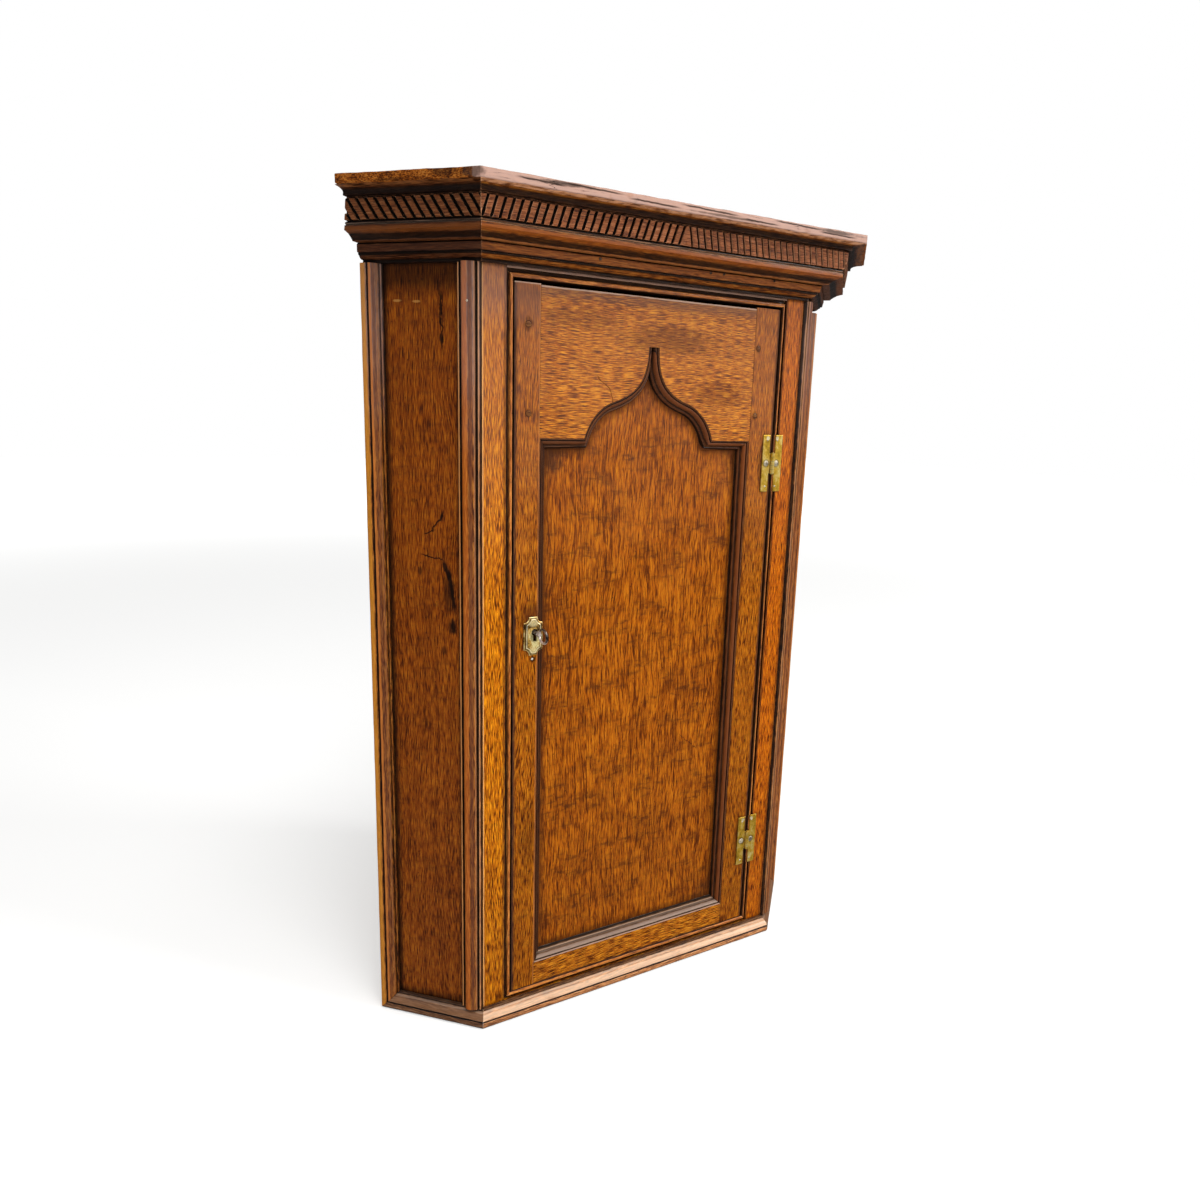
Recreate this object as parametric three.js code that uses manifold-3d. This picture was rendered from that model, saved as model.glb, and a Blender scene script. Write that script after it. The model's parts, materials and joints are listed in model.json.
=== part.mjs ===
// Hanging corner cupboard in oak, English country work.
// Millimetres, +Z up. The flat front faces -Y and the room corner is at +Y.
// Heights are measured from the underside, and the front of the door lies on y = 0 before the last move.

import * as THREE from 'three';
import { mergeVertices } from 'three/addons/utils/BufferGeometryUtils.js';
import Module from 'manifold-3d';

const wasm = await Module();
wasm.setup();

// Case: the flat front, the canted returns that stand square to the room walls, and the boards
const frontHalf = 230;
const returnDepth = 140.5;
const returnThick = 16;
const frameThick = 20;
const backThick = 12;
const baseHeight = 23;
const bottomThick = 20;
const caseHeight = 997.4;
const topThick = 9.6;
const topWear = 1.2;

// Clearances: overrun for cuts, the gap between pieces that meet on a slant, and running gaps
const overrun = 1;
const slantGap = 0.3;
const fitGap = 0.3;

// Face frame and the cockbead round the door
const frameStileWidth = 29.5;
const openingDrop = 2;
const beadSide = 7.5;
const beadHead = 9.5;
const beadFoot = 9;
const beadProud = 1.5;
const quirkDeep = 4;
const frameTenon = 15;
const frameTenonThick = 7;
const frameTenonShare = 0.6;

// Cornice
const bedHeight = 35.7;
const bedReach = 48;
const friezeHeight = 22.3;
const crownHeight = 6.9;
const friezeCap = 2.1;
const friezeBack = 38;
const friezeFootReach = 50;
const friezeHeadReach = 52.5;
const fluteDeep = 3.6;
const frontPitch = 9.6;
const frontFlute = 3;
const frontSlope = 0.287;
const middleHalf = 7.9;
const returnPitch = 10.7;
const returnFlute = 3.5;
const returnSlope = 0.6;
const crownReach = 72;
const topReach = 74;
const corniceFootInset = 1.1;
const corniceHeadInset = 11.7;

// Base moulding, and the uprights planted on the returns
const baseReach = 13.2;
const cornerWidth = 26.7;
const cornerReach = 11;

// Shelves
const shelfThick = 14;
const shelfSpacing = 300;
const shelfRise = 285;
const shelfClearance = 1.5;
const housingDeep = 4;
const plankJointShares = [0.34, 0.67];
const plankJointWide = 2;
const plankJointDeep = 1.5;

// Door
const doorGaps = { lock: 1.7, hinge: 2.7, foot: 1, head: 3 };
const doorThick = 22;
const lockStileWidth = 32.6;
const hingeStileWidth = 39.7;
const lockStileDrop = 0.5;
const topRailDrop = 2;
const bottomRailTall = 30.8;
const tenonLong = 24;
const tenonFront = 4.5;
const tenonThick = 7;
const tenonInset = 7;
const topTenonInset = 11;

// Ogee arch of the door's top rail
const archedRailTall = 168.5;
const archShift = -0.95;
const archHalf = 94.9;
const archRise = 111;
const slotHalf = 7.75;
const turnOut = 54.4;
const turnUp = 44.6;
const turnSlope = 0.31;
const footLean = 0.26;
const footHandle = 21.5;
const turnHandle = 20.6;
const sweepHandle = 36.6;
const slotHandle = 37.2;
const archSteps = 11;

// Panel and the moulding round it
const panelFront = 13.5;
const panelThick = 5;
const panelTopInset = 44;
const panelHousing = 8;
const panelMouldWidth = 12;

// Draw-bore pegs: how far into the stile each stands, and below the rail's top or above its shoulder
const pegRadius = 3.6;
const pegProud = 0.5;
const pegInsets = { lockUpper: 15.3, lockLower: 14.4, hingeUpper: 6.5, hingeLower: 7.5 };
const pegDrops = { lock: 43, hinge: 49.2 };
const pegRises = { lock: 27.7, hinge: 33.1 };

// H hinges
const hingeAxisOut = 0.7;
const hingeAxisFront = 3.2;
const upperHingeDrop = 199.7;
const lowerHingeRise = 127.5;
const leafHalfSpan = 16.5;
const leafWidth = 11.5;
const leafHeight = 76;
const leafThick = 2;
const knuckleHeight = 27;
const knuckleRadius = 2.9;
const knuckleCount = 5;
const knuckleGap = 0.3;
const hingePinRadius = 1.3;
const hingePinHead = 1;
const screwReach = { door: 10, frame: 7.5 };
const screwHeadRadius = 4.2;
const screwHeadHigh = 1.2;
const screwCrownShare = 0.55;
const screwCrownDrop = 0.18;
const screwShankRadius = 2;
const screwLong = 15;

// Escutcheon, lock and key
const keyInset = 4.3;
const keyRise = 483.5;
const plateShift = -1.6;
const plateDrop = 4.8;
const plateHalfWidth = 12.3;
const plateHalfHeight = 23.8;
const plateScoop = 7;
const plateEdge = 0.9;
const plateRise = 1.5;
const plateBorder = 3.2;
const keyholeRadius = 4.4;
const keyholeSlot = 4.6;
const keyholeDrop = 11.5;
const shankRadius = 2.2;
const shankBore = 1.5;
const shankBoreDeep = 9;
const collarRadius = 3.2;
const collarThick = 2;
const collarChamfer = 0.4;
const bowRodRadius = 1.6;
const bowHalfLong = 12;
const bowHalfTall = 10;
const bowFront = 37;
const bitReach = 6.5;
const bitThick = 2;
const bitWide = 4.5;
const boltThick = 4.5;
const boltTall = 13;
const boltLift = 2.8;
const boltTravel = 8;
const boltGap = 1.8;
const boltEndGap = 0.5;
const boltTail = 3;
const caseWall = 1.5;
const caseDeep = 13;
const caseLeftInset = 2.3;
const caseWidth = 44.5;
const caseTall = 62;
const drillPinLong = 9.5;

// Profiles as shares of the moulding's reach and height, from the back of the foot round the face
const baseShares = [
  [0, 0], [0.8, 0], [0.95, 0.065], [1, 0.17], [0.985, 0.28], [0.91, 0.35], [0.82, 0.365], [0.82, 0.435],
  [0.95, 0.47], [0.93, 0.52], [0.83, 0.65], [0.64, 0.76], [0.42, 0.83], [0.27, 0.87], [0.34, 0.9],
  [0.34, 0.98], [0, 1],
];
const bedShares = [
  [0, 0], [0.125, 0], [0.125, 0.098], [0.188, 0.098], [0.25, 0.12], [0.313, 0.188], [0.345, 0.21],
  [0.365, 0.21], [0.365, 0.258], [0.417, 0.258], [0.458, 0.479], [0.417, 0.518], [0.642, 0.518],
  [0.656, 0.552], [0.729, 0.616], [0.833, 0.686], [0.948, 0.725], [1, 0.731], [1, 0.868], [0.958, 0.882],
  [0.958, 0.905], [0.99, 0.916], [0.99, 0.96], [0.9375, 0.966], [0.9375, 1], [0, 1],
];
const crownShares = [
  [0.778, 0], [0.778, 0.39], [0.792, 0.594], [0.833, 0.78], [0.903, 0.913], [0.986, 0.971], [1, 1],
];
// Front corner upright, as shares of its width and reach, from the arris towards the wall
const cornerShares = [
  [0, 0], [0, 0.18], [0.03, 0.45], [0.055, 0.53], [0.085, 0.53], [0.105, 0.45], [0.13, 0.38], [0.19, 0.38],
  [0.205, 0.69], [0.245, 0.75], [0.34, 0.87], [0.45, 0.96], [0.56, 1], [0.655, 0.98], [0.73, 0.89],
  [0.785, 0.69], [0.815, 0.45], [0.825, 0.29], [0.9, 0.29], [0.907, 0.44], [0.94, 0.48], [0.98, 0.46],
  [1, 0.38], [1, 0],
];
// Cockbead, as shares of its width and of its proud height, beside the quirk on its outer edge
const beadQuirkShare = 0.48;
const beadShares = [
  [0.49, 0], [0.54, 0.55], [0.62, 0.9], [0.72, 1], [0.83, 0.85], [0.93, 0.4], [1, -0.2],
];
// Panel moulding, as shares of its width and of the depth to the panel
const panelMouldShares = [
  [0, 0.02], [0.13, 0.05], [0.18, 0.19], [0.25, 0.19], [0.27, 0.12], [0.37, 0.14], [0.47, 0.22],
  [0.54, 0.34], [0.57, 0.44], [0.6, 0.55], [0.68, 0.62], [0.73, 0.59], [0.81, 0.58], [0.88, 0.65],
  [0.91, 0.76], [0.93, 0.88], [1, 0.97],
];
const topProudShare = 0.5;

// Angles and shares that follow from the plan: the returns leave the front at 45 degrees
const slant = Math.SQRT1_2;
const mitreShare = Math.tan(Math.PI / 8);
const roundSteps = 20;
const smallRoundSteps = 12;

// Heights and places that follow: the cornice hangs from the case's top, and the door fills the cockbead
const bedFoot = caseHeight - crownHeight - friezeHeight - bedHeight;
const openingHalf = frontHalf - frameStileWidth;
const openingTop = bedFoot - openingDrop;
const openingFoot = baseHeight;
const corniceRearFoot = returnDepth - corniceFootInset;
const corniceRearHead = returnDepth - corniceHeadInset;
const shelfHeights = { lower: baseHeight + shelfRise, upper: baseHeight + shelfRise + shelfSpacing };
// The shelves stop behind the lock
const shelfSetback = doorThick + caseDeep + shelfClearance;
const doorLeft = -(openingHalf - beadSide) + doorGaps.lock;
const doorRight = openingHalf - beadSide - doorGaps.hinge;
const doorFoot = openingFoot + beadFoot + doorGaps.foot;
const doorTop = openingTop - beadHead - doorGaps.head;
const lockStileInner = doorLeft + lockStileWidth;
const hingeStileInner = doorRight - hingeStileWidth;
const railTop = doorTop - topRailDrop;
const bottomRailTop = doorFoot + bottomRailTall;
const shoulderHeight = railTop - archedRailTall;
const archCentre = (lockStileInner + hingeStileInner) / 2 + archShift;
const panelBack = panelFront + panelThick;
const panelTop = railTop - panelTopInset;
const pegPlaces = {
  peg_lock_upper: [lockStileInner - pegInsets.lockUpper, railTop - pegDrops.lock],
  peg_lock_lower: [lockStileInner - pegInsets.lockLower, shoulderHeight + pegRises.lock],
  peg_hinge_upper: [hingeStileInner + pegInsets.hingeUpper, railTop - pegDrops.hinge],
  peg_hinge_lower: [hingeStileInner + pegInsets.hingeLower, shoulderHeight + pegRises.hinge],
};
const hingeAxisX = doorRight + hingeAxisOut;
const hingeHeights = { upper: doorTop - upperHingeDrop, lower: doorFoot + lowerHingeRise };
const keyX = lockStileInner - keyInset;
const keyZ = doorFoot + keyRise;
const plateX = keyX + plateShift;
const plateZ = keyZ - plateDrop;

// Finishes
function finish(color, roughness, metalness) {
  return new THREE.MeshStandardMaterial({ color, roughness, metalness, flatShading: true });
}

const oakCase = finish(0x9a5524, 0.5, 0);
const oakMoulding = finish(0x7d4522, 0.45, 0);
const oakDoor = finish(0xa05a20, 0.45, 0);
const oakInside = finish(0x8a6138, 0.75, 0);
const brass = finish(0xb08a3a, 0.38, 1);
const steel = finish(0x6c6864, 0.4, 1);

const cupboard = new THREE.Group();
// The part's origin is under the middle of its plan, from the cornice to the room corner
const roomCornerY = (frontHalf + slant * returnDepth) + slant * returnDepth;
cupboard.position.y = (topReach - roomCornerY) / 2;

// Solids

// Welds a closed geometry and gives it as a solid whose faces point out
function solidOf(geometry) {
  const bare = geometry.clone();
  bare.deleteAttribute('normal');
  bare.deleteAttribute('uv');
  const welded = mergeVertices(bare);
  const points = welded.attributes.position.array;
  const corners = Uint32Array.from(welded.index.array);
  let volume = 0;
  const [a, b, c] = [new THREE.Vector3(), new THREE.Vector3(), new THREE.Vector3()];
  for (let i = 0; i < corners.length; i += 3) {
    a.fromArray(points, corners[i] * 3);
    b.fromArray(points, corners[i + 1] * 3);
    c.fromArray(points, corners[i + 2] * 3);
    volume += a.dot(b.cross(c));
  }
  if (volume < 0) {
    for (let i = 0; i < corners.length; i += 3) {
      [corners[i], corners[i + 1]] = [corners[i + 1], corners[i]];
    }
  }
  const mesh = new wasm.Mesh({ numProp: 3, vertProperties: Float32Array.from(points), triVerts: corners });
  return new wasm.Manifold(mesh);
}

// Moves every vertex of a geometry by a function of its place
function mapped(geometry, move) {
  const place = geometry.attributes.position;
  for (let i = 0; i < place.count; i += 1) {
    const [x, y, z] = move(place.getX(i), place.getY(i), place.getZ(i));
    place.setXYZ(i, x, y, z);
  }
  return geometry;
}

// Adds a named piece to the cupboard
function piece(name, solid, material) {
  const body = solid.getMesh();
  const geometry = new THREE.BufferGeometry();
  geometry.setAttribute('position', new THREE.BufferAttribute(Float32Array.from(body.vertProperties), 3));
  geometry.setIndex(new THREE.BufferAttribute(Uint32Array.from(body.triVerts), 1));
  geometry.computeVertexNormals();
  const mesh = new THREE.Mesh(geometry, material);
  mesh.name = name;
  cupboard.add(mesh);
}

function outline(points) {
  return new THREE.Shape(points.map(([u, v]) => new THREE.Vector2(u, v)));
}

function extruded(shape, depth) {
  return new THREE.ExtrudeGeometry(shape, { depth, bevelEnabled: false, curveSegments: archSteps });
}

// A board seen in plan, between two heights
function upright(points, low, high) {
  return solidOf(extruded(outline(points), high - low).translate(0, 0, low));
}

// A shape seen from the front, between two depths
function slab(shape, front, back) {
  return solidOf(mapped(extruded(shape, back - front), (u, v, t) => [u, front + t, v]));
}

function box(x0, x1, y0, y1, z0, z1) {
  const block = new THREE.BoxGeometry(x1 - x0, y1 - y0, z1 - z0);
  return solidOf(block.translate((x0 + x1) / 2, (y0 + y1) / 2, (z0 + z1) / 2));
}

// A rod along Y, as a turned profile of [radius, depth] pairs from axis to axis
function turned(x, z, profile, steps) {
  const lathe = new THREE.LatheGeometry(profile.map(([r, y]) => new THREE.Vector2(r, y)), steps);
  return solidOf(lathe.translate(x, 0, z));
}

function rodAlongY(x, z, radius, front, back, steps = smallRoundSteps) {
  return turned(x, z, [[0, front], [radius, front], [radius, back], [0, back]], steps);
}

// A ring or rod along Z
function rodAlongZ(x, y, radius, low, high, steps = roundSteps) {
  const lathe = new THREE.LatheGeometry(
    [[0, low], [radius, low], [radius, high], [0, high]].map(([r, h]) => new THREE.Vector2(r, h)), steps);
  return solidOf(lathe.rotateX(Math.PI / 2).translate(x, y, 0));
}

// Places on the cupboard: side is -1 on the left and 1 on the right.
// On a return, s runs from the front arris to the wall and b stands out of the board's face.
function onReturn(side) {
  return (s, b, z) => [side * (frontHalf + slant * (s + b)), slant * (s - b), z];
}

function onFront(x, a, z) {
  return [x, -a, z];
}

function planOnReturn(side, points) {
  const place = onReturn(side);
  return points.map(([s, b]) => place(s, b, 0).slice(0, 2));
}

// Distance along a return of the point at depth y and offset b
function returnAtDepth(y, b) {
  return y / slant + b;
}

// A length of moulding: the profile's ends lie where startAt and endAt put them
function moulding(profile, place, startAt, endAt) {
  return solidOf(mapped(extruded(outline(profile), 1), (a, z, t) => {
    const start = startAt(a, z);
    return place(start + t * (endAt(a, z) - start), a, z);
  }));
}

function scaledProfile(shares, reach, height, foot) {
  return shares.map(([reachShare, heightShare]) => [reachShare * reach, foot + heightShare * height]);
}

// Mouldings that meet on a slant keep half the gap on each side
function mitreOnFront(a) {
  return frontHalf + a * mitreShare - slantGap / 2;
}

function mitreOnReturn(a) {
  return slantGap / 2 - a * mitreShare;
}

function awayFromBoard(profile) {
  return profile.map(([a, z]) => [Math.max(a, slantGap), z]);
}

function frontMoulding(profile) {
  return moulding(profile, onFront, (a) => -mitreOnFront(a), mitreOnFront);
}

function returnMoulding(side, profile, endAt) {
  return moulding(awayFromBoard(profile), onReturn(side), mitreOnReturn, endAt);
}

const sides = { left: -1, right: 1 };
const corniceHeight = caseHeight + topThick - bedFoot;

// The cornice's ends lean away from the wall towards the top
function corniceRear(a, z) {
  return corniceRearFoot + (corniceRearHead - corniceRearFoot) * (z - bedFoot) / corniceHeight;
}

// Case

const stileInnerX = frontHalf - (returnThick / slant - frameThick);
const housingOffset = housingDeep - returnThick;
const insideRear = returnDepth - backThick;

function shelfPlan(side, front, offset) {
  const start = returnAtDepth(front, offset);
  const rear = insideRear - slantGap;
  return planOnReturn(side, [[start, offset], [rear, offset]]);
}

function boardAcross(front, offset, low, high) {
  const apexY = roomCornerY - (backThick + slantGap) / slant;
  const left = shelfPlan(-1, front, offset);
  const right = shelfPlan(1, front, offset).reverse();
  return upright([...left, [0, apexY], ...right], low, high);
}

function returnBoard(side) {
  const inner = returnAtDepth(frameThick, -returnThick);
  const rear = insideRear - slantGap;
  const plan = planOnReturn(side, [
    [slantGap, 0], [rear, 0], [rear, -returnThick], [inner + slantGap, -returnThick],
  ]);
  let board = upright(plan, 0, caseHeight);
  for (const foot of Object.values(shelfHeights)) {
    const open = -returnThick - overrun;
    const groove = planOnReturn(side, [
      [returnAtDepth(shelfSetback - fitGap, housingOffset), housingOffset], [rear + overrun, housingOffset],
      [rear + overrun, open], [returnAtDepth(shelfSetback - fitGap, open), open],
    ]);
    board = board.subtract(upright(groove, foot - fitGap, foot + shelfThick + fitGap));
  }
  return board;
}

// Three planks a side, with a shallow V where they meet
function backBoards(side) {
  const along = (s) => -(frontHalf / slant + s) + slantGap;
  const notches = (s, dip) => plankJointShares.map((share) => {
    const b = along(insideRear) * share;
    return [[s, b + plankJointWide / 2], [s + dip, b], [s, b - plankJointWide / 2]];
  });
  const outerFace = notches(returnDepth, -plankJointDeep).flat();
  const innerFace = notches(insideRear, plankJointDeep).flat().reverse();
  const plan = planOnReturn(side, [
    [returnDepth, 0], ...outerFace, [returnDepth, along(returnDepth)],
    [insideRear, along(insideRear)], ...innerFace, [insideRear, 0],
  ]);
  return upright(plan, 0, caseHeight);
}

function topBoard() {
  const rearEdge = corniceRearHead;
  const edge = [[-topReach * mitreShare, topReach], [rearEdge, topReach], [rearEdge, 0], [returnDepth, 0]];
  const plan = outline([...planOnReturn(-1, edge).reverse(), ...planOnReturn(1, edge), [0, roomCornerY]]);
  const board = new THREE.ExtrudeGeometry(plan, {
    depth: topThick - 2 * topWear,
    bevelThickness: topWear,
    bevelSize: topWear,
    bevelOffset: -topWear,
    bevelSegments: 2,
  });
  return solidOf(board.translate(0, 0, caseHeight + topWear));
}

piece('top_board', topBoard(), oakMoulding);
piece('bottom_board', boardAcross(frameThick, -returnThick - slantGap, 0, bottomThick), oakInside);
for (const [name, foot] of Object.entries(shelfHeights)) {
  const shelf = boardAcross(shelfSetback, housingOffset - slantGap, foot, foot + shelfThick);
  piece(`${name}_shelf`, shelf, oakInside);
}
for (const [name, side] of Object.entries(sides)) {
  piece(`${name}_return_board`, returnBoard(side), oakCase);
  piece(`${name}_back_board`, backBoards(side), oakInside);
}

// Face frame: rails tenoned into the stiles

const tenonMiddle = frameThick / 2;

function frameTenonBox(side, low, high, gap) {
  const inset = (high - low) * (1 - frameTenonShare) / 2;
  const reach = openingHalf + frameTenon + gap;
  const inner = openingHalf - overrun;
  return box(
    Math.min(side * inner, side * reach), Math.max(side * inner, side * reach),
    tenonMiddle - frameTenonThick / 2 - gap, tenonMiddle + frameTenonThick / 2 + gap,
    low + inset - gap, high - inset + gap,
  );
}

const frameRails = { frame_bottom_rail: [0, baseHeight], frame_top_rail: [openingTop, caseHeight] };

function frameStile(side) {
  const plan = [
    [side * frontHalf, 0], [side * openingHalf, 0],
    [side * openingHalf, frameThick], [side * stileInnerX, frameThick],
  ];
  let stile = upright(plan, 0, caseHeight);
  for (const [low, high] of Object.values(frameRails)) {
    stile = stile.subtract(frameTenonBox(side, low, high, fitGap));
  }
  return stile;
}

for (const [name, side] of Object.entries(sides)) {
  piece(`frame_${name}_stile`, frameStile(side), oakCase);
}
for (const [name, [low, high]] of Object.entries(frameRails)) {
  const rail = box(-openingHalf, openingHalf, 0, frameThick, low, high);
  const tenons = frameTenonBox(-1, low, high, 0).add(frameTenonBox(1, low, high, 0));
  piece(name, rail.add(tenons), oakCase);
}

// Hinges: places that the cockbead, the stile and the door are cut for

const leafTop = leafHeight / 2;
const knuckleTop = knuckleHeight / 2;

function hingeScrewCut(x, z) {
  return rodAlongY(x, z, screwShankRadius + fitGap, -leafThick - overrun, screwLong + fitGap);
}

// Cockbead: four mitred lengths that line the opening

function beadSection(width) {
  const face = beadShares.map(([widthShare, proudShare]) => [widthShare * width, -proudShare * beadProud]);
  const quirkSide = beadQuirkShare * width;
  return [[0, frameThick], [0, quirkDeep], [quirkSide, quirkDeep], ...face, [width, frameThick]];
}

// Share of the bead's width at u gives the matching point of the bead that it meets
function sideBead(side) {
  const place = (along, u, y) => [side * (openingHalf - u), y, along];
  const startAt = (u) => openingFoot + beadFoot * (u / beadSide) + slantGap / 2;
  const endAt = (u) => openingTop - beadHead * (u / beadSide) - slantGap / 2;
  return moulding(beadSection(beadSide), place, startAt, endAt);
}

function crossBead(width, heightAt) {
  const place = (along, u, y) => [along, y, heightAt(u)];
  const reach = (u) => openingHalf - beadSide * (u / width) - slantGap / 2;
  return moulding(beadSection(width), place, (u) => -reach(u), reach);
}

function hingedBead() {
  let bead = sideBead(1);
  for (const z of Object.values(hingeHeights)) {
    const low = z - leafTop - fitGap;
    const high = z + leafTop + fitGap;
    bead = bead.subtract(box(0, openingHalf + overrun, -leafThick - overrun, 0, low, high));
    bead = bead.subtract(hingeScrewCut(hingeAxisX + screwReach.frame, z));
  }
  return bead;
}

piece('cockbead_left', sideBead(-1), oakMoulding);
piece('cockbead_right', hingedBead(), oakMoulding);
piece('cockbead_top', crossBead(beadHead, (u) => openingTop - u), oakMoulding);
piece('cockbead_bottom', crossBead(beadFoot, (u) => openingFoot + u), oakMoulding);

// Cornice: bed moulding, fluted frieze and crown, each in three mitred lengths

const friezeFoot = bedFoot + bedHeight;
const friezeTop = friezeFoot + friezeHeight;
const fluteTop = friezeTop - friezeCap;

const bedProfile = scaledProfile(bedShares, bedReach, bedHeight, bedFoot);
const crownFace = scaledProfile(crownShares, crownReach, crownHeight, friezeTop);
const crownProfile = [[friezeBack, friezeTop], ...crownFace, [friezeBack, caseHeight]];
const friezeProfile = [
  [friezeBack, friezeFoot], [friezeFootReach, friezeFoot], [friezeHeadReach, fluteTop],
  [friezeFootReach, fluteTop], [friezeFootReach, friezeTop], [friezeBack, friezeTop],
];

function friezeFace(z) {
  return friezeFootReach + (friezeHeadReach - friezeFootReach) * (z - friezeFoot) / (fluteTop - friezeFoot);
}

// One slanted flute: its foot starts at u and its head has moved by slope times the height
function flute(place, u, width, slope) {
  const low = friezeFoot - overrun;
  const shift = (z) => slope * (z - friezeFoot);
  const shape = outline([
    [u + shift(low), low], [u + width + shift(low), low], [u + width + shift(fluteTop), fluteTop],
    [u + shift(fluteTop), fluteTop],
  ]);
  return solidOf(mapped(extruded(shape, fluteDeep + overrun), (along, z, t) => (
    place(along, friezeFace(z) - fluteDeep + t, z)
  )));
}

function cutFlutes(board, flutes) {
  const tools = flutes.reduce((sum, tool) => sum.add(tool));
  return board.subtract(tools);
}

// On the front the flutes lean together and meet in an A over the middle
function frontFrieze() {
  const count = Math.ceil((mitreOnFront(friezeHeadReach) - middleHalf) / frontPitch);
  const flutes = [];
  for (let i = 0; i < count; i += 1) {
    const u = middleHalf + i * frontPitch;
    flutes.push(flute(onFront, u, frontFlute, -frontSlope));
    flutes.push(flute((x, a, z) => onFront(-x, a, z), u, frontFlute, -frontSlope));
  }
  return cutFlutes(frontMoulding(friezeProfile), flutes);
}

function returnFrieze(side) {
  const start = mitreOnReturn(friezeHeadReach) - returnSlope * friezeHeight;
  const count = Math.ceil((corniceRearFoot - start) / returnPitch);
  const flutes = [];
  for (let i = 0; i < count; i += 1) {
    flutes.push(flute(onReturn(side), start + i * returnPitch, returnFlute, returnSlope));
  }
  return cutFlutes(returnMoulding(side, friezeProfile, corniceRear), flutes);
}

piece('bed_moulding_front', frontMoulding(bedProfile), oakMoulding);
piece('frieze_front', frontFrieze(), oakMoulding);
piece('crown_moulding_front', frontMoulding(crownProfile), oakMoulding);
for (const [name, side] of Object.entries(sides)) {
  piece(`bed_moulding_${name}`, returnMoulding(side, bedProfile, corniceRear), oakMoulding);
  piece(`frieze_${name}`, returnFrieze(side), oakMoulding);
  piece(`crown_moulding_${name}`, returnMoulding(side, crownProfile, corniceRear), oakMoulding);
}

// Base moulding, with the same section turned upright at the wall and mitred to it

const baseProfile = scaledProfile(baseShares, baseReach, baseHeight, 0);

function baseRear(a, z) {
  return returnDepth - z - slantGap / 2;
}

function rearUpright(side) {
  const place = (along, a, w) => onReturn(side)(returnDepth - w, a, along);
  const profile = awayFromBoard(baseProfile);
  return moulding(profile, place, (a, w) => w + slantGap / 2, () => bedFoot);
}

function cornerUpright(side) {
  const profile = cornerShares.map(([widthShare, reachShare]) => [
    widthShare * cornerWidth, Math.max(reachShare * cornerReach, slantGap),
  ]);
  const place = (along, s, b) => onReturn(side)(s, b, along);
  return moulding(profile, place, () => baseHeight, () => bedFoot);
}

piece('base_moulding_front', frontMoulding(baseProfile), oakMoulding);
for (const [name, side] of Object.entries(sides)) {
  piece(`base_moulding_${name}`, returnMoulding(side, baseProfile, baseRear), oakMoulding);
  piece(`rear_upright_${name}`, rearUpright(side), oakMoulding);
  piece(`corner_upright_${name}`, cornerUpright(side), oakMoulding);
}

// Door frame

// The pegs stop in front of the panel's groove
const pegBack = panelFront - 2 * fitGap;

// The ogee from the foot of the arch to its slot, on one side of the centre line
function archCurves(side) {
  const at = (out, up) => new THREE.Vector2(archCentre + side * out, shoulderHeight + up);
  const turnRun = Math.cos(turnSlope);
  const turnLift = Math.sin(turnSlope);
  const lower = new THREE.CubicBezierCurve(
    at(archHalf, 0),
    at(archHalf - footHandle * Math.sin(footLean), footHandle * Math.cos(footLean)),
    at(turnOut + turnHandle * turnRun, turnUp - turnHandle * turnLift),
    at(turnOut, turnUp),
  );
  const upper = new THREE.CubicBezierCurve(
    at(turnOut, turnUp),
    at(turnOut - sweepHandle * turnRun, turnUp + sweepHandle * turnLift),
    at(slotHalf, archRise - slotHandle),
    at(slotHalf, archRise),
  );
  return [lower, upper];
}

function archPoints(side) {
  const [lower, upper] = archCurves(side);
  return [...lower.getPoints(archSteps), ...upper.getPoints(archSteps).slice(1)];
}

function topRail() {
  const left = archPoints(-1).map((p) => [p.x, p.y]);
  const right = archPoints(1).map((p) => [p.x, p.y]).reverse();
  const shape = outline([
    [lockStileInner, shoulderHeight], ...left, ...right, [hingeStileInner, shoulderHeight],
    [hingeStileInner, railTop], [lockStileInner, railTop],
  ]);
  const rebate = box(
    lockStileInner - overrun, hingeStileInner + overrun, panelFront - fitGap, doorThick + overrun,
    shoulderHeight - overrun, panelTop + fitGap,
  );
  return slab(shape, 0, doorThick).subtract(rebate);
}

const tenonRows = {
  top: [shoulderHeight + topTenonInset, railTop - topTenonInset],
  bottom: [doorFoot + tenonInset, bottomRailTop - panelHousing - fitGap],
};

function doorTenon([low, high], inner, outwards, gap) {
  const end = inner + outwards * (tenonLong + gap);
  const root = inner - outwards * overrun;
  return box(
    Math.min(root, end), Math.max(root, end), tenonFront - gap, tenonFront + tenonThick + gap,
    low - gap, high + gap,
  );
}

function withTenons(rail, row) {
  return rail.add(doorTenon(row, lockStileInner, -1, 0)).add(doorTenon(row, hingeStileInner, 1, 0));
}

function cutPegs(solid, gap) {
  let cut = solid;
  for (const [x, z] of Object.values(pegPlaces)) {
    cut = cut.subtract(rodAlongY(x, z, pegRadius + gap, -overrun, pegBack + gap));
  }
  return cut;
}

function bottomRail() {
  const groove = box(
    lockStileInner - overrun, hingeStileInner + overrun, panelFront - fitGap, panelBack + fitGap,
    bottomRailTop - panelHousing - fitGap, bottomRailTop + overrun,
  );
  const rail = box(lockStileInner, hingeStileInner, 0, doorThick, doorFoot, bottomRailTop);
  return withTenons(rail.subtract(groove), tenonRows.bottom);
}

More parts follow.
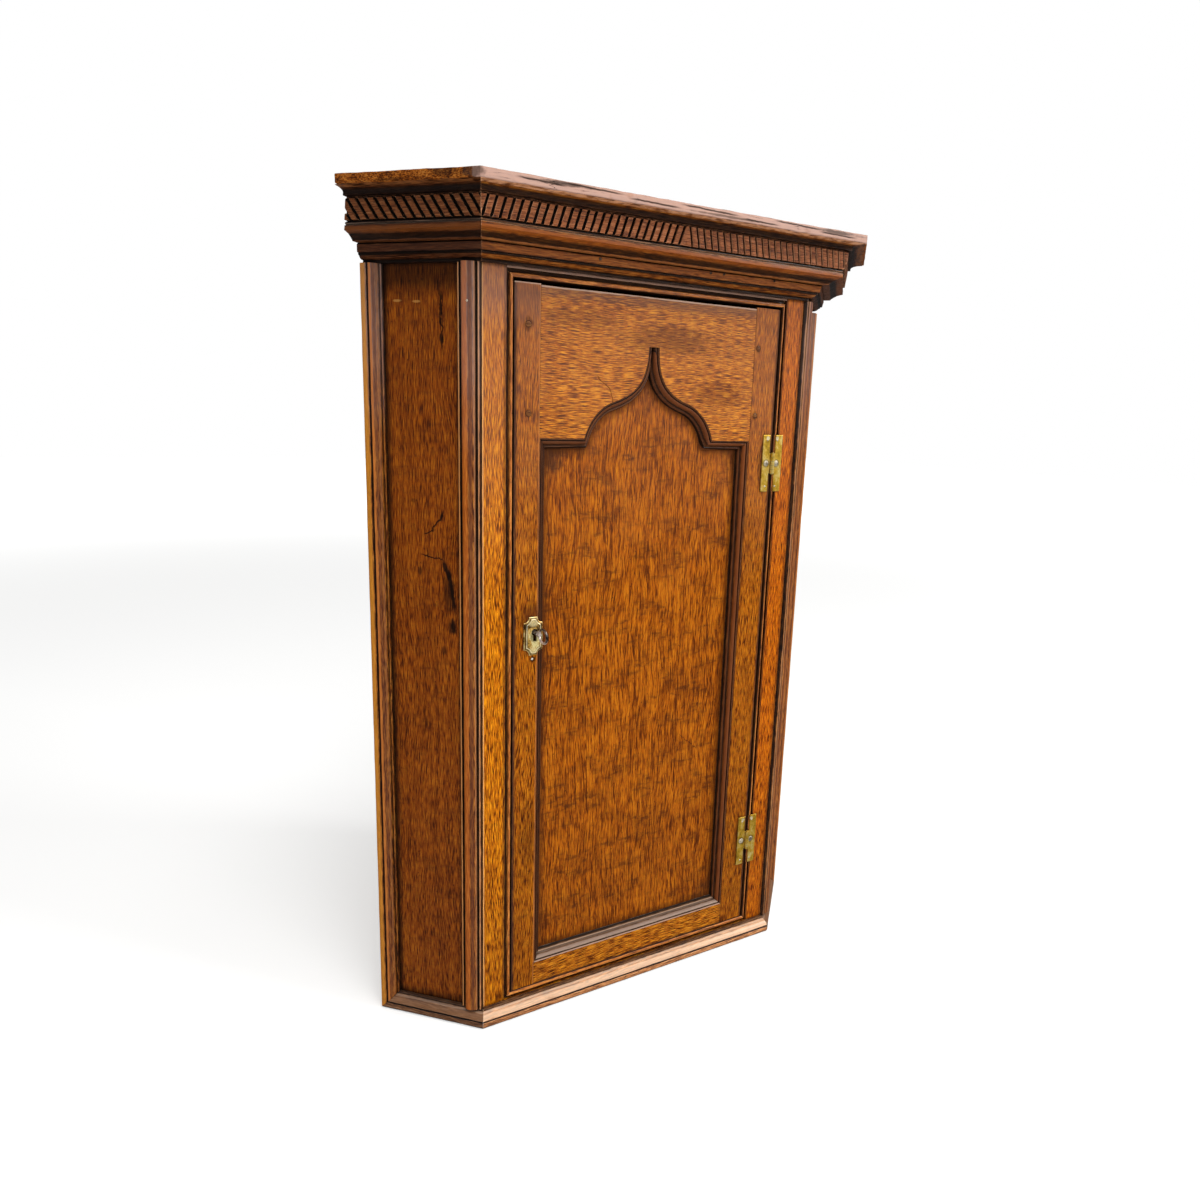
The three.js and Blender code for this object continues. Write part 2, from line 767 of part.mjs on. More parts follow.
// A stile in plan, with the groove for the panel in its inner edge
function doorStile(outer, inner, outwards, top) {
  const grooveEnd = inner + outwards * (panelHousing + fitGap);
  const plan = [
    [outer, 0], [inner, 0], [inner, panelFront - fitGap], [grooveEnd, panelFront - fitGap],
    [grooveEnd, panelBack + fitGap], [inner, panelBack + fitGap], [inner, doorThick], [outer, doorThick],
  ];
  let stile = upright(plan, doorFoot, top);
  for (const row of Object.values(tenonRows)) {
    stile = stile.subtract(doorTenon(row, inner, outwards, fitGap));
  }
  return cutPegs(stile, fitGap);
}

function keyholeShape() {
  const shape = new THREE.Shape();
  const half = keyholeSlot / 2;
  const dip = Math.acos(half / keyholeRadius);
  shape.moveTo(keyX - half, keyZ - keyholeDrop);
  shape.lineTo(keyX + half, keyZ - keyholeDrop);
  shape.absarc(keyX, keyZ, keyholeRadius, -dip, Math.PI + dip, false);
  return shape;
}

function keyholeCut() {
  return slab(keyholeShape(), -overrun, doorThick + overrun);
}

function lockStile() {
  return doorStile(doorLeft, lockStileInner, -1, doorTop - lockStileDrop).subtract(keyholeCut());
}

function hingeStile() {
  let stile = doorStile(doorRight, hingeStileInner, 1, doorTop);
  for (const z of Object.values(hingeHeights)) {
    stile = stile.subtract(hingeScrewCut(hingeAxisX - screwReach.door, z));
  }
  return stile;
}

// The keyhole also passes the panel's edge in the stile's groove
function panel() {
  const reach = panelHousing;
  const board = box(
    lockStileInner - reach, hingeStileInner + reach, panelFront, panelBack,
    bottomRailTop - reach, panelTop,
  );
  return board.subtract(keyholeCut());
}

piece('door_lock_stile', lockStile(), oakDoor);
piece('door_hinge_stile', hingeStile(), oakDoor);
piece('door_arched_rail', cutPegs(withTenons(topRail(), tenonRows.top), fitGap), oakDoor);
piece('door_bottom_rail', bottomRail(), oakDoor);
piece('door_panel', panel(), oakDoor);
for (const [name, [x, z]] of Object.entries(pegPlaces)) {
  const peg = [
    [0, -pegProud], [pegRadius * topProudShare, -pegProud], [pegRadius, 0],
    [pegRadius, pegBack], [0, pegBack],
  ];
  piece(name, turned(x, z, peg, smallRoundSteps), oakDoor);
}

// Moulding round the panel: mitred lengths below, and two that follow the ogee

const mouldSection = [
  [0, panelFront],
  ...scaledProfile(panelMouldShares, panelMouldWidth, panelFront, 0),
  [panelMouldWidth, panelFront],
].map(([u, y]) => [Math.max(u, fitGap), y]);

function sidePanelMoulding(inner, outwards) {
  const place = (along, u, y) => [inner - outwards * u, y, along];
  const startAt = (u) => bottomRailTop + u + slantGap / 2;
  const endAt = (u) => shoulderHeight - u - slantGap / 2;
  return moulding(mouldSection, place, startAt, endAt);
}

function bottomPanelMoulding() {
  const place = (along, u, y) => [along, y, bottomRailTop + u];
  const startAt = (u) => lockStileInner + u + slantGap / 2;
  const endAt = (u) => hingeStileInner - u - slantGap / 2;
  return moulding(mouldSection, place, startAt, endAt);
}

// Carries the section along a path in the door's plane: each ring lies on the mitre of its corner
function archMoulding(side, inner) {
  const path = [new THREE.Vector2(inner, shoulderHeight), ...archPoints(side)];
  const normals = path.map((point, i) => {
    const before = path[Math.max(i - 1, 0)];
    const after = path[Math.min(i + 1, path.length - 1)];
    const edges = [point.clone().sub(before), after.clone().sub(point)].filter((edge) => edge.length() > 0);
    const rights = edges.map((edge) => new THREE.Vector2(edge.y, -edge.x).normalize().multiplyScalar(-side));
    const sum = rights.reduce((total, right) => total.clone().add(right)).normalize();
    return sum.divideScalar(sum.dot(rights[0]));
  });
  // The first ring is mitred with the upright moulding and the last lies level under the slot's head
  normals[0].set(-side, -1);
  normals[path.length - 1].set(-side, 0);
  const steps = path.length - 1;
  const tube = new THREE.ExtrudeGeometry(outline(mouldSection), { depth: steps, steps, bevelEnabled: false });
  const solid = solidOf(mapped(tube, (u, y, t) => {
    const i = Math.round(t);
    const lead = i === 0 ? -side * slantGap : 0;
    return [path[i].x + normals[i].x * u + lead, y, path[i].y + normals[i].y * u];
  }));
  const edge = archCentre + side * slantGap / 2;
  const far = archCentre - side * (archHalf + panelMouldWidth);
  const beyond = box(
    Math.min(edge, far), Math.max(edge, far), -overrun, doorThick, shoulderHeight - panelMouldWidth - overrun,
    shoulderHeight + archRise + overrun,
  );
  return solid.subtract(beyond);
}

piece('panel_moulding_left', sidePanelMoulding(lockStileInner, -1), oakDoor);
piece('panel_moulding_right', sidePanelMoulding(hingeStileInner, 1), oakDoor);
piece('panel_moulding_bottom', bottomPanelMoulding(), oakDoor);
piece('panel_moulding_arch_left', archMoulding(-1, lockStileInner), oakDoor);
piece('panel_moulding_arch_right', archMoulding(1, hingeStileInner), oakDoor);

// H hinges: two leaves whose knuckles interlock on a pin

const knucklePitch = knuckleHeight / knuckleCount;

// The door leaf holds the odd knuckles, the frame leaf the even ones, the ends among them
function hingeLeaf(outwards, z, first) {
  const inner = leafHalfSpan - leafWidth;
  const span = (near, far) => [outwards * near, outwards * far].sort((a, b) => a - b);
  const [strip0, strip1] = span(inner, leafHalfSpan);
  let leaf = box(strip0, strip1, -leafThick, 0, z - leafTop, z + leafTop);
  const clear = knuckleRadius + knuckleGap;
  const [tab0, tab1] = span(clear, inner + overrun);
  leaf = leaf.add(box(tab0, tab1, -leafThick, 0, z - knuckleTop, z + knuckleTop));
  for (let i = first; i < knuckleCount; i += 2) {
    const low = z - knuckleTop + i * knucklePitch + (i > 0 ? knuckleGap / 2 : 0);
    const high = z - knuckleTop + (i + 1) * knucklePitch - (i < knuckleCount - 1 ? knuckleGap / 2 : 0);
    const [web0, web1] = span(hingePinRadius + fitGap, clear + overrun);
    leaf = leaf.add(box(web0, web1, -leafThick, -knuckleGap, low, high));
    leaf = leaf.add(rodAlongZ(0, -hingeAxisFront, knuckleRadius, low, high));
  }
  const boreRadius = hingePinRadius + fitGap;
  const bore = rodAlongZ(0, -hingeAxisFront, boreRadius, z - leafTop, z + leafTop, smallRoundSteps);
  return leaf.subtract(bore).translate([hingeAxisX, 0, 0]);
}

function hingePin(z) {
  const low = z - knuckleTop;
  const high = z + knuckleTop;
  const head = knuckleRadius - hingePinHead;
  const profile = [
    [0, low - hingePinHead], [head, low - hingePinHead], [head, low], [hingePinRadius, low],
    [hingePinRadius, high], [head, high], [head, high + hingePinHead], [0, high + hingePinHead],
  ];
  const lathe = new THREE.LatheGeometry(profile.map(([r, h]) => new THREE.Vector2(r, h)), smallRoundSteps);
  return solidOf(lathe.rotateX(Math.PI / 2).translate(hingeAxisX, -hingeAxisFront, 0));
}

function hingeScrew(x, z) {
  const profile = [
    [0, -leafThick - screwHeadHigh],
    [screwHeadRadius * screwCrownShare, -leafThick - screwHeadHigh + screwCrownDrop],
    [screwHeadRadius, -leafThick], [screwShankRadius, -leafThick],
    [screwShankRadius, screwLong - screwShankRadius], [0, screwLong],
  ];
  return turned(x, z, profile, smallRoundSteps);
}

for (const [name, z] of Object.entries(hingeHeights)) {
  const doorScrewX = hingeAxisX - screwReach.door;
  const frameScrewX = hingeAxisX + screwReach.frame;
  const doorLeaf = hingeLeaf(-1, z, 1).subtract(hingeScrewCut(doorScrewX, z));
  const frameLeaf = hingeLeaf(1, z, 0).subtract(hingeScrewCut(frameScrewX, z));
  piece(`${name}_hinge_door_leaf`, doorLeaf, brass);
  piece(`${name}_hinge_frame_leaf`, frameLeaf, brass);
  piece(`${name}_hinge_pin`, hingePin(z), brass);
  piece(`${name}_hinge_door_screw`, hingeScrew(doorScrewX, z), steel);
  piece(`${name}_hinge_frame_screw`, hingeScrew(frameScrewX, z), steel);
}

// Escutcheon: a plate with scooped corners and a sloping border

function plateShape() {
  const [w, h, r] = [plateHalfWidth, plateHalfHeight, plateScoop];
  const shape = new THREE.Shape();
  shape.moveTo(r - w, -h);
  shape.absarc(w, -h, r, Math.PI, Math.PI / 2, true);
  shape.absarc(w, h, r, -Math.PI / 2, -Math.PI, true);
  shape.absarc(-w, h, r, 0, -Math.PI / 2, true);
  shape.absarc(-w, -h, r, Math.PI / 2, 0, true);
  return shape;
}

function escutcheon() {
  const narrowShare = 1 - plateBorder / plateHalfWidth;
  const shortShare = 1 - plateBorder / plateHalfHeight;
  const taper = (share, t) => 1 + t * (share - 1);
  const rise = (u, v, t) => [
    plateX + u * taper(narrowShare, t), -plateEdge - plateRise * t, plateZ + v * taper(shortShare, t),
  ];
  const edge = slab(plateShape(), -plateEdge, 0).translate([plateX, 0, plateZ]);
  const plateSteps = { depth: 1, bevelEnabled: false, curveSegments: archSteps };
  const border = solidOf(mapped(new THREE.ExtrudeGeometry(plateShape(), plateSteps), rise));
  const keyhole = slab(keyholeShape(), -plateEdge - plateRise - overrun, overrun);
  return edge.add(border).subtract(keyhole);
}

piece('escutcheon', escutcheon(), brass);

// Lock: a case on the back of the door, its bolt above the key, and a hollow key on a drill pin

const mechanismFront = doorThick + boltGap;
const lockCaseLeft = doorLeft + caseLeftInset;
const lockCaseRight = lockCaseLeft + caseWidth;
const lockCaseBack = doorThick + caseDeep;
const boltFoot = keyZ + boltLift;
const boltLeft = doorLeft + boltEndGap;

function boltBar(gap) {
  return [mechanismFront - gap, mechanismFront + boltThick + gap, boltFoot - gap, boltFoot + boltTall + gap];
}

function lockCase() {
  const low = keyZ - caseTall / 2;
  const high = keyZ + caseTall / 2;
  const shell = box(lockCaseLeft, lockCaseRight, doorThick, lockCaseBack, low, high);
  const hollow = box(
    lockCaseLeft + caseWall, lockCaseRight - caseWall, doorThick - overrun, lockCaseBack - caseWall,
    low + caseWall, high - caseWall,
  );
  const slot = box(lockCaseLeft - overrun, lockCaseLeft + caseWall + overrun, ...boltBar(fitGap));
  const pinRadius = shankBore - fitGap;
  const drillPin = rodAlongY(keyX, keyZ, pinRadius, lockCaseBack - caseWall - drillPinLong, lockCaseBack);
  return shell.subtract(hollow).subtract(slot).add(drillPin);
}

// The talon is as wide as the bit sweeps across the bolt while both move
function lockBolt() {
  const turns = Array.from({ length: roundSteps + 1 }, (_, i) => Math.PI * i / roundSteps);
  const sweep = Math.max(...turns.map((turn) => bitReach * Math.sin(turn) + boltTravel * turn / Math.PI));
  const clear = bitThick / 2 + fitGap * 2;
  const talonLeft = keyX + boltTravel - clear;
  const talonRight = keyX + sweep + clear;
  const [front, back, foot, head] = boltBar(0);
  const bar = box(boltLeft, talonRight + boltTail, front, back, foot, head);
  const talon = box(
    talonLeft, talonRight, front - overrun, back + overrun, foot - overrun, keyZ + bitReach + fitGap * 2,
  );
  return bar.subtract(talon);
}

function key() {
  const bowCentre = -(bowFront - bowHalfLong);
  const bowBack = bowCentre + bowHalfLong - bowRodRadius;
  const shankEnd = mechanismFront + bitWide + fitGap;
  const collarBack = bowBack + 2 * collarThick;
  const profile = [
    [0, bowBack - bowRodRadius], [shankRadius, bowBack - bowRodRadius], [shankRadius, bowBack + collarThick],
    [collarRadius, bowBack + collarThick + collarChamfer], [collarRadius, collarBack - collarChamfer],
    [shankRadius, collarBack], [shankRadius, shankEnd], [shankBore, shankEnd],
    [shankBore, shankEnd - shankBoreDeep], [0, shankEnd - shankBoreDeep],
  ];
  const shank = turned(keyX, keyZ, profile, roundSteps);
  const ring = new THREE.TorusGeometry(1, bowRodRadius / bowHalfTall, smallRoundSteps, 2 * smallRoundSteps);
  const [long, tall] = [bowHalfLong - bowRodRadius, bowHalfTall - bowRodRadius];
  const bow = solidOf(mapped(ring, (u, v, w) => (
    [keyX + w * bowHalfTall, bowCentre + u * long, keyZ + v * tall]
  )));
  const bit = box(
    keyX - bitThick / 2, keyX + bitThick / 2, mechanismFront, mechanismFront + bitWide,
    keyZ - bitReach, keyZ - (shankRadius + shankBore) / 2,
  );
  return shank.add(bow).add(bit);
}

piece('lock_case', lockCase(), steel);
piece('lock_bolt', lockBolt(), brass);
piece('key', key(), steel);

export default cupboard;
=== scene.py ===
"""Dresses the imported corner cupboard: worn waxed oak, aged brass, steel, nails and a plain studio.

Lengths are millimetres unless a name says otherwise. Heights start at the underside, x at the middle and y at
the front face. On a return, s runs back from the front arris and b stands out of its face.
"""

from __future__ import annotations

import json
import logging
import math
from dataclasses import dataclass, field
from enum import Enum
from typing import Mapping, NamedTuple, Sequence, Union

import bmesh
import bpy
from mathutils import Matrix, Vector, noise
from mathutils.kdtree import KDTree

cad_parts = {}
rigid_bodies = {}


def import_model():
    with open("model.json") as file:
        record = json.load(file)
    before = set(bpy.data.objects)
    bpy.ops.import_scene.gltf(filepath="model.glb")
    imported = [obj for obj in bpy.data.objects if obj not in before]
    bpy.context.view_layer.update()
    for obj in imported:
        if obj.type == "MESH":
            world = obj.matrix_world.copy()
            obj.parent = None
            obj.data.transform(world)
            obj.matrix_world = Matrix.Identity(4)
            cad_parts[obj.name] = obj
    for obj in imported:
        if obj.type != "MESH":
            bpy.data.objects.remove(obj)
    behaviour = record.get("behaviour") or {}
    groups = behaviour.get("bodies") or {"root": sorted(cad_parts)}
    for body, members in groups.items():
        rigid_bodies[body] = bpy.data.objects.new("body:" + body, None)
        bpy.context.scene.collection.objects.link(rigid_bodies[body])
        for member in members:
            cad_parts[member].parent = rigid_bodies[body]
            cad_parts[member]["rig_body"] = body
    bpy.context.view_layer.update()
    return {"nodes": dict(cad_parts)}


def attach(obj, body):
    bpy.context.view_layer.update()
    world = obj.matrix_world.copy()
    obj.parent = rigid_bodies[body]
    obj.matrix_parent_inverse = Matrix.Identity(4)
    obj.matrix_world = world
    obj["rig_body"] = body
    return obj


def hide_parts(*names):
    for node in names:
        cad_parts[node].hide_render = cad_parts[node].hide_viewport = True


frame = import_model()

log = logging.getLogger("corner_cupboard")

MM = 0.001
FRONT_Y = -177.35
FRONT_HALF = 230.0
HALF_ROOT = math.sqrt(0.5)
MERGE = 2e-6
FLAT_ANGLE = math.radians(0.6)
SHARP_ANGLE = math.radians(33)
NOISE_SEED = 11
EDGE_DISTANCE = "edge_distance"
GROOVE = "groove"

Colour = tuple[float, float, float, float]
Size = tuple[float, float, float]
Pair = tuple[float, float]
Value = Union["Term", float, int, Colour, Size]


def tone(red: float, green: float, blue: float) -> Colour:
    """Turns a screen colour into the linear one that a shader needs.

    Args:
        red: Red from 0 to 255.
        green: Green from 0 to 255.
        blue: Blue from 0 to 255.

    Returns:
        The linear colour with an alpha of 1.
    """
    parts = [c / 255 for c in (red, green, blue)]
    linear = [c / 12.92 if c <= 0.04045 else ((c + 0.055) / 1.055) ** 2.4 for c in parts]
    return (linear[0], linear[1], linear[2], 1.0)


def spot(x: float, y: float, z: float) -> Vector:
    """Place in metres of a point given in millimetres from the front face."""
    return Vector((x * MM, (y + FRONT_Y) * MM, z * MM))


def return_spot(side: int, s: float, b: float, z: float) -> Vector:
    """Place in metres of a point on a return.

    Args:
        side: -1 for the left return and 1 for the right one.
        s: Distance along the return from the front arris.
        b: Distance out of the return's face.
        z: Height from the underside.

    Returns:
        The place in metres.
    """
    return spot(side * (FRONT_HALF + HALF_ROOT * (s + b)), HALF_ROOT * (s - b), z)


class Side(Enum):
    """A canted return, seen from the front."""

    LEFT = -1
    RIGHT = 1

    @property
    def word(self) -> str:
        """The side's word in node names."""
        return self.name.lower()

    @property
    def along(self) -> Vector:
        """Level direction along the return, away from the front."""
        return Vector((self.value * HALF_ROOT, HALF_ROOT, 0.0))

    @property
    def outward(self) -> Vector:
        """Level direction out of the return's face."""
        return Vector((self.value * HALF_ROOT, -HALF_ROOT, 0.0))


class Plane(Enum):
    """The upright plane that a piece's pattern lies in, with the turn that brings it to the x axis."""

    FRONT = (0.0, 0.0, 1.0)
    LEFT = (-135.0, -1.0, -1.0)
    RIGHT = (-45.0, -1.0, 1.0)

    @property
    def turn(self) -> float:
        """Turn about the vertical, in radians."""
        return math.radians(self.value[0])

    @property
    def shift(self) -> Size:
        """Shift after the turn that puts zero at the front arris, on the face.

        Returns:
            The shift in millimetres.
        """
        if self is Plane.FRONT:
            return (0.0, -FRONT_Y, 0.0)
        across = -FRONT_HALF * HALF_ROOT - FRONT_Y * HALF_ROOT
        outward = FRONT_HALF * HALF_ROOT - FRONT_Y * HALF_ROOT
        return (across, outward if self is Plane.RIGHT else -outward, 0.0)


class Term:
    """A socket that takes part in written formulas, so that each operator adds its Math node."""

    def __init__(self, graph: "Graph", socket: bpy.types.NodeSocket) -> None:
        """Wraps one output socket of a graph."""
        self.graph = graph
        self.socket = socket

    def _math(self, operation: str, first: Value, second: Value = 0.0) -> "Term":
        """Adds a Math node and returns its result."""
        made = self.graph.node("ShaderNodeMath", {"operation": operation}, {0: first, 1: second})
        return Term(self.graph, made.outputs[0])

    def __add__(self, other: Value) -> "Term":
        """Sum."""
        return self._math("ADD", self, other)

    def __radd__(self, other: Value) -> "Term":
        """Sum with the number first."""
        return self._math("ADD", other, self)

    def __sub__(self, other: Value) -> "Term":
        """Difference."""
        return self._math("SUBTRACT", self, other)

    def __rsub__(self, other: Value) -> "Term":
        """Difference with the number first."""
        return self._math("SUBTRACT", other, self)

    def __mul__(self, other: Value) -> "Term":
        """Product."""
        return self._math("MULTIPLY", self, other)

    def __rmul__(self, other: Value) -> "Term":
        """Product with the number first."""
        return self._math("MULTIPLY", other, self)

    def __truediv__(self, other: Value) -> "Term":
        """Quotient."""
        return self._math("DIVIDE", self, other)

    def __abs__(self) -> "Term":
        """Size without its sign."""
        return self._math("ABSOLUTE", self)

    def least(self, other: Value) -> "Term":
        """The smaller of two values."""
        return self._math("MINIMUM", self, other)

    def most(self, other: Value) -> "Term":
        """The larger of two values."""
        return self._math("MAXIMUM", self, other)

    def fraction(self) -> "Term":
        """What is left over the whole number below."""
        return self._math("FRACT", self)

    def whole(self) -> "Term":
        """The whole number below."""
        return self._math("FLOOR", self)

    def rise(self, low: Value, high: Value) -> "Term":
        """Goes smoothly from 0 at low to 1 at high, or down where low is the larger.

        Args:
            low: Value where the result is 0.
            high: Value where the result is 1.

        Returns:
            The smooth step.
        """
        made = self.graph.node(
            "ShaderNodeMapRange",
            {"interpolation_type": "SMOOTHSTEP"},
            {0: self, 1: low, 2: high, 3: 0.0, 4: 1.0},
        )
        return Term(self.graph, made.outputs[0])


class Graph:
    """A node tree that is written as formulas."""

    def __init__(self, tree: bpy.types.NodeTree) -> None:
        """Takes an empty tree."""
        self.tree = tree

    def node(
        self,
        kind: str,
        settings: Mapping[str, object] | None = None,
        inputs: Mapping[int | str, object] | None = None,
    ) -> bpy.types.Node:
        """Adds one node.

        Args:
            kind: Type name of the node.
            settings: Properties, set first. "stops" gives a colour ramp its places and colours.
            inputs: Values or links of its sockets, by name or number.

        Returns:
            The new node.
        """
        made = self.tree.nodes.new(kind)
        for name, value in (settings or {}).items():
            if name == "stops":
                self._stops(made, value)
            else:
                setattr(made, name, value)
        for key, value in (inputs or {}).items():
            if isinstance(value, Term):
                self.tree.links.new(value.socket, made.inputs[key])
            else:
                made.inputs[key].default_value = value
        return made

    @staticmethod
    def _stops(ramp: bpy.types.Node, stops: Sequence[tuple[float, Colour]]) -> None:
        """Gives a colour ramp its stops, the first two of which it has already.

        Args:
            ramp: The colour ramp.
            stops: Places and colours.
        """
        elements = ramp.color_ramp.elements
        for number, (place, colour) in enumerate(stops):
            element = elements[number] if number < len(elements) else elements.new(place)
            element.position = place
            element.color = colour

    def term(self, kind: str, settings: Mapping[str, object], inputs: Mapping, output: int | str = 0) -> Term:
        """Adds one node and wraps one of its outputs.

        Args:
            kind: Type name of the node.
            settings: Properties, set first.
            inputs: Values or links of its sockets.
            output: Name or number of the output.

        Returns:
            The wrapped output.
        """
        return Term(self, self.node(kind, settings, inputs).outputs[output])

    def mix(self, share: Value, first: Value, second: Value) -> Term:
        """Mixes two colours.

        Args:
            share: How much of the second colour.
            first: Colour at 0.
            second: Colour at 1.

        Returns:
            The mixed colour.
        """
        settings = {"data_type": "RGBA", "blend_type": "MIX", "clamp_factor": True}
        return self.term("ShaderNodeMix", settings, {0: share, 6: first, 7: second}, 2)

    def split(self, vector: Term) -> tuple[Term, Term, Term]:
        """The three parts of a vector."""
        made = self.node("ShaderNodeSeparateXYZ", {}, {0: vector})
        return tuple(Term(self, made.outputs[n]) for n in range(3))

    def join(self, x: Value, y: Value, z: Value) -> Term:
        """A vector from its three parts."""
        return self.term("ShaderNodeCombineXYZ", {}, {0: x, 1: y, 2: z})

    def noise(self, place: Term, size: Sequence[float], detail: float = 2.0) -> Term:
        """Smooth noise from 0 to 1.

        Args:
            place: Where it is read, in millimetres.
            size: Size of its features along x, y and z, in millimetres.
            detail: Number of finer layers.

        Returns:
            The noise.
        """
        scales = tuple(1 / s for s in size)
        read_at = self.term("ShaderNodeVectorMath", {"operation": "MULTIPLY"}, {0: place, 1: scales})
        values = {"Vector": read_at, "Scale": 1.0, "Detail": detail, "Roughness": 0.55}
        return self.term("ShaderNodeTexNoise", {}, values)

    def turned(self, plane: Plane) -> Term:
        """Object coordinates in millimetres, turned so that x runs along the piece's plane.

        Args:
            plane: The piece's plane.

        Returns:
            The coordinates: along the plane, into it and up.
        """
        place = self.term("ShaderNodeTexCoord", {}, {}, "Object")
        values = {
            "Vector": place,
            "Location": plane.shift,
            "Rotation": (0.0, 0.0, plane.turn),
            "Scale": (1 / MM, 1 / MM, 1 / MM),
        }
        return self.term("ShaderNodeMapping", {"vector_type": "POINT"}, values)

    def stored(self, name: str) -> Term:
        """A number that is stored on the piece's points."""
        return self.term("ShaderNodeAttribute", {"attribute_name": name}, {}, "Fac")

    def hidden(self, distance: float, inside: bool) -> Term:
        """How closed in a point is, from 0 in the open to 1.

        Args:
            distance: How far it looks, in millimetres.
            inside: Looks inwards, which finds edges that stand out.

        Returns:
            The share that is closed in.
        """
        settings = {"only_local": inside, "inside": inside, "samples": 6}
        return 1 - self.term("ShaderNodeAmbientOcclusion", settings, {"Distance": distance * MM}, "AO")


class Axis(Enum):
    """An axis of the turned coordinates, or the distance to the frame round the panel."""

    ALONG = 0
    DEPTH = 1
    HEIGHT = 2
    EDGE = 3


class Mark:
    """Base of what is laid over the wood's colour."""

    def laid(self, graph: Graph, parts: Sequence[Term], patch: Term, ground: Term) -> Term:
        """Lays the mark on a colour. Each kind of mark does it its own way."""
        raise NotImplementedError


@dataclass(frozen=True)
class Band(Mark):
    """A strip of another colour along a piece, such as the soiling and painted shade along a door's edge."""

    axis: Axis
    low: float
    high: float
    soft: float
    colour: Colour
    strength: float = 1.0
    ragged: float = 2.0

    def laid(self, graph: Graph, parts: Sequence[Term], patch: Term, ground: Term) -> Term:
        """Lays the strip on a colour.

        Args:
            graph: The material's graph.
            parts: The turned coordinates.
            patch: Noise that makes the strip ragged.
            ground: Colour below.

        Returns:
            The colour with the strip.
        """
        place = parts[self.axis.value] + (patch - 0.5) * (2 * self.ragged)
        start = place.rise(self.low - self.soft, self.low + self.soft)
        end = place.rise(self.high + self.soft, self.high - self.soft)
        share = start * end * self.strength * patch.rise(0.1, 0.45)
        return graph.mix(share, ground, self.colour)


@dataclass(frozen=True)
class Smudge(Mark):
    """A soft round spot, such as a knot, a stain, a painted highlight or the painted shade round a keyhole.
    """

    middle: Pair
    size: Pair
    strength: float = 0.6
    colour: Colour = tone(18, 10, 5)
    ragged: float = 1.6

    def laid(self, graph: Graph, parts: Sequence[Term], patch: Term, ground: Term) -> Term:
        """Lays the spot on a colour.

        Args:
            graph: The material's graph.
            parts: The turned coordinates.
            patch: Noise that makes its edge ragged.
            ground: Colour below.

        Returns:
            The colour with the spot.
        """
        across = (parts[0] - self.middle[0]) / self.size[0]
        up = (parts[2] - self.middle[1]) / self.size[1]
        near = (across * across + up * up + (patch - 0.5) * self.ragged).rise(1.1, 0.1)
        return graph.mix(near * self.strength, ground, self.colour)


@dataclass(frozen=True)
class Crack(Mark):
    """A thin dark crack or scratch across an upright face."""

    start: Pair
    end: Pair
    width: float = 0.7
    bend: float = 5.0
    colour: Colour = tone(16, 9, 5)

    def laid(self, graph: Graph, parts: Sequence[Term], patch: Term, ground: Term) -> Term:
        """Draws the crack on a colour.

        Args:
            graph: The material's graph.
            parts: The turned coordinates.
            patch: Noise that bends it.
            ground: Colour below.

        Returns:
            The colour with the crack.
        """
        across, up = self.end[0] - self.start[0], self.end[1] - self.start[1]
        length = math.hypot(across, up)
        run = ((parts[0] - self.start[0]) * across + (parts[2] - self.start[1]) * up) / length
        off = ((parts[0] - self.start[0]) * up - (parts[2] - self.start[1]) * across) / length
        off = abs(off + (patch - 0.5) * self.bend)
        ends = run.rise(0.0, length * 0.2) * run.rise(length, length * 0.75)
        return graph.mix(off.rise(self.width, self.width * 0.3) * ends * 0.9, ground, self.colour)


class Finish:
    """Base of the finishes: an empty material and its shader."""

    def started(self, name: str) -> tuple[bpy.types.Material, Graph]:
        """Makes an empty material.

        Args:
            name: Name of the material.

        Returns:
            The material and the graph of its tree.
        """
        material = bpy.data.materials.new(name)
        material.use_nodes = True
        material.node_tree.nodes.clear()
        return material, Graph(material.node_tree)

    def shown(self, graph: Graph, inputs: Mapping[str, object]) -> None:
        """Adds the surface shader and the output.

        Args:
            graph: The material's graph.
            inputs: Values and links of the shader.
        """
        shader = graph.term("ShaderNodeBsdfPrincipled", {}, inputs)
        graph.node("ShaderNodeOutputMaterial", {}, {"Surface": shader})

    def bumped(self, graph: Graph, height: Term, strength: float = 1.0) -> Term:
        """Normal of a relief.

        Args:
            graph: The material's graph.
            height: Height in millimetres.
            strength: How strong it shows.

        Returns:
            The normal.
        """
        values = {"Strength": strength, "Distance": MM, "Height": height}
        return graph.term("ShaderNodeBump", {}, values)


def scaled(colour: Colour, shares: Sequence[float], power: float) -> Colour:
    """A colour with each part taken times its share, raised to a power."""
    parts = [part * share**power for part, share in zip(colour, shares)]
    return (parts[0], parts[1], parts[2], 1.0)


@dataclass(frozen=True)
class OakTone:
    """Colours of one kind of oak, spread from its middle colour."""

    middle: Colour
    spread: float = 1.0
    shade: Colour = tone(66, 36, 12)
    pore: Colour = tone(44, 22, 4)
    # Colour of flecks, splits and soiling, also used as painted shade in recesses and in the floors of carved
    # grooves.
    grime: Colour = tone(15, 8, 5)
    # Colour of worn arrises, also used for painted highlights on arrises and on the edges of flutes.
    worn: Colour = tone(206, 140, 78)

    @property
    def stops(self) -> list[tuple[float, Colour]]:
        """Stops of the ramp from the darkest fibres to the palest."""
        return [
            (0.1, scaled(self.middle, (0.17, 0.14, 0.3), self.spread)),
            (0.34, scaled(self.middle, (0.56, 0.52, 0.5), self.spread)),
            (0.52, self.middle),
            (0.7, scaled(self.middle, (1.3, 1.5, 1.8), self.spread)),
            (0.92, scaled(self.middle, (1.6, 2.3, 4.0), self.spread)),
        ]


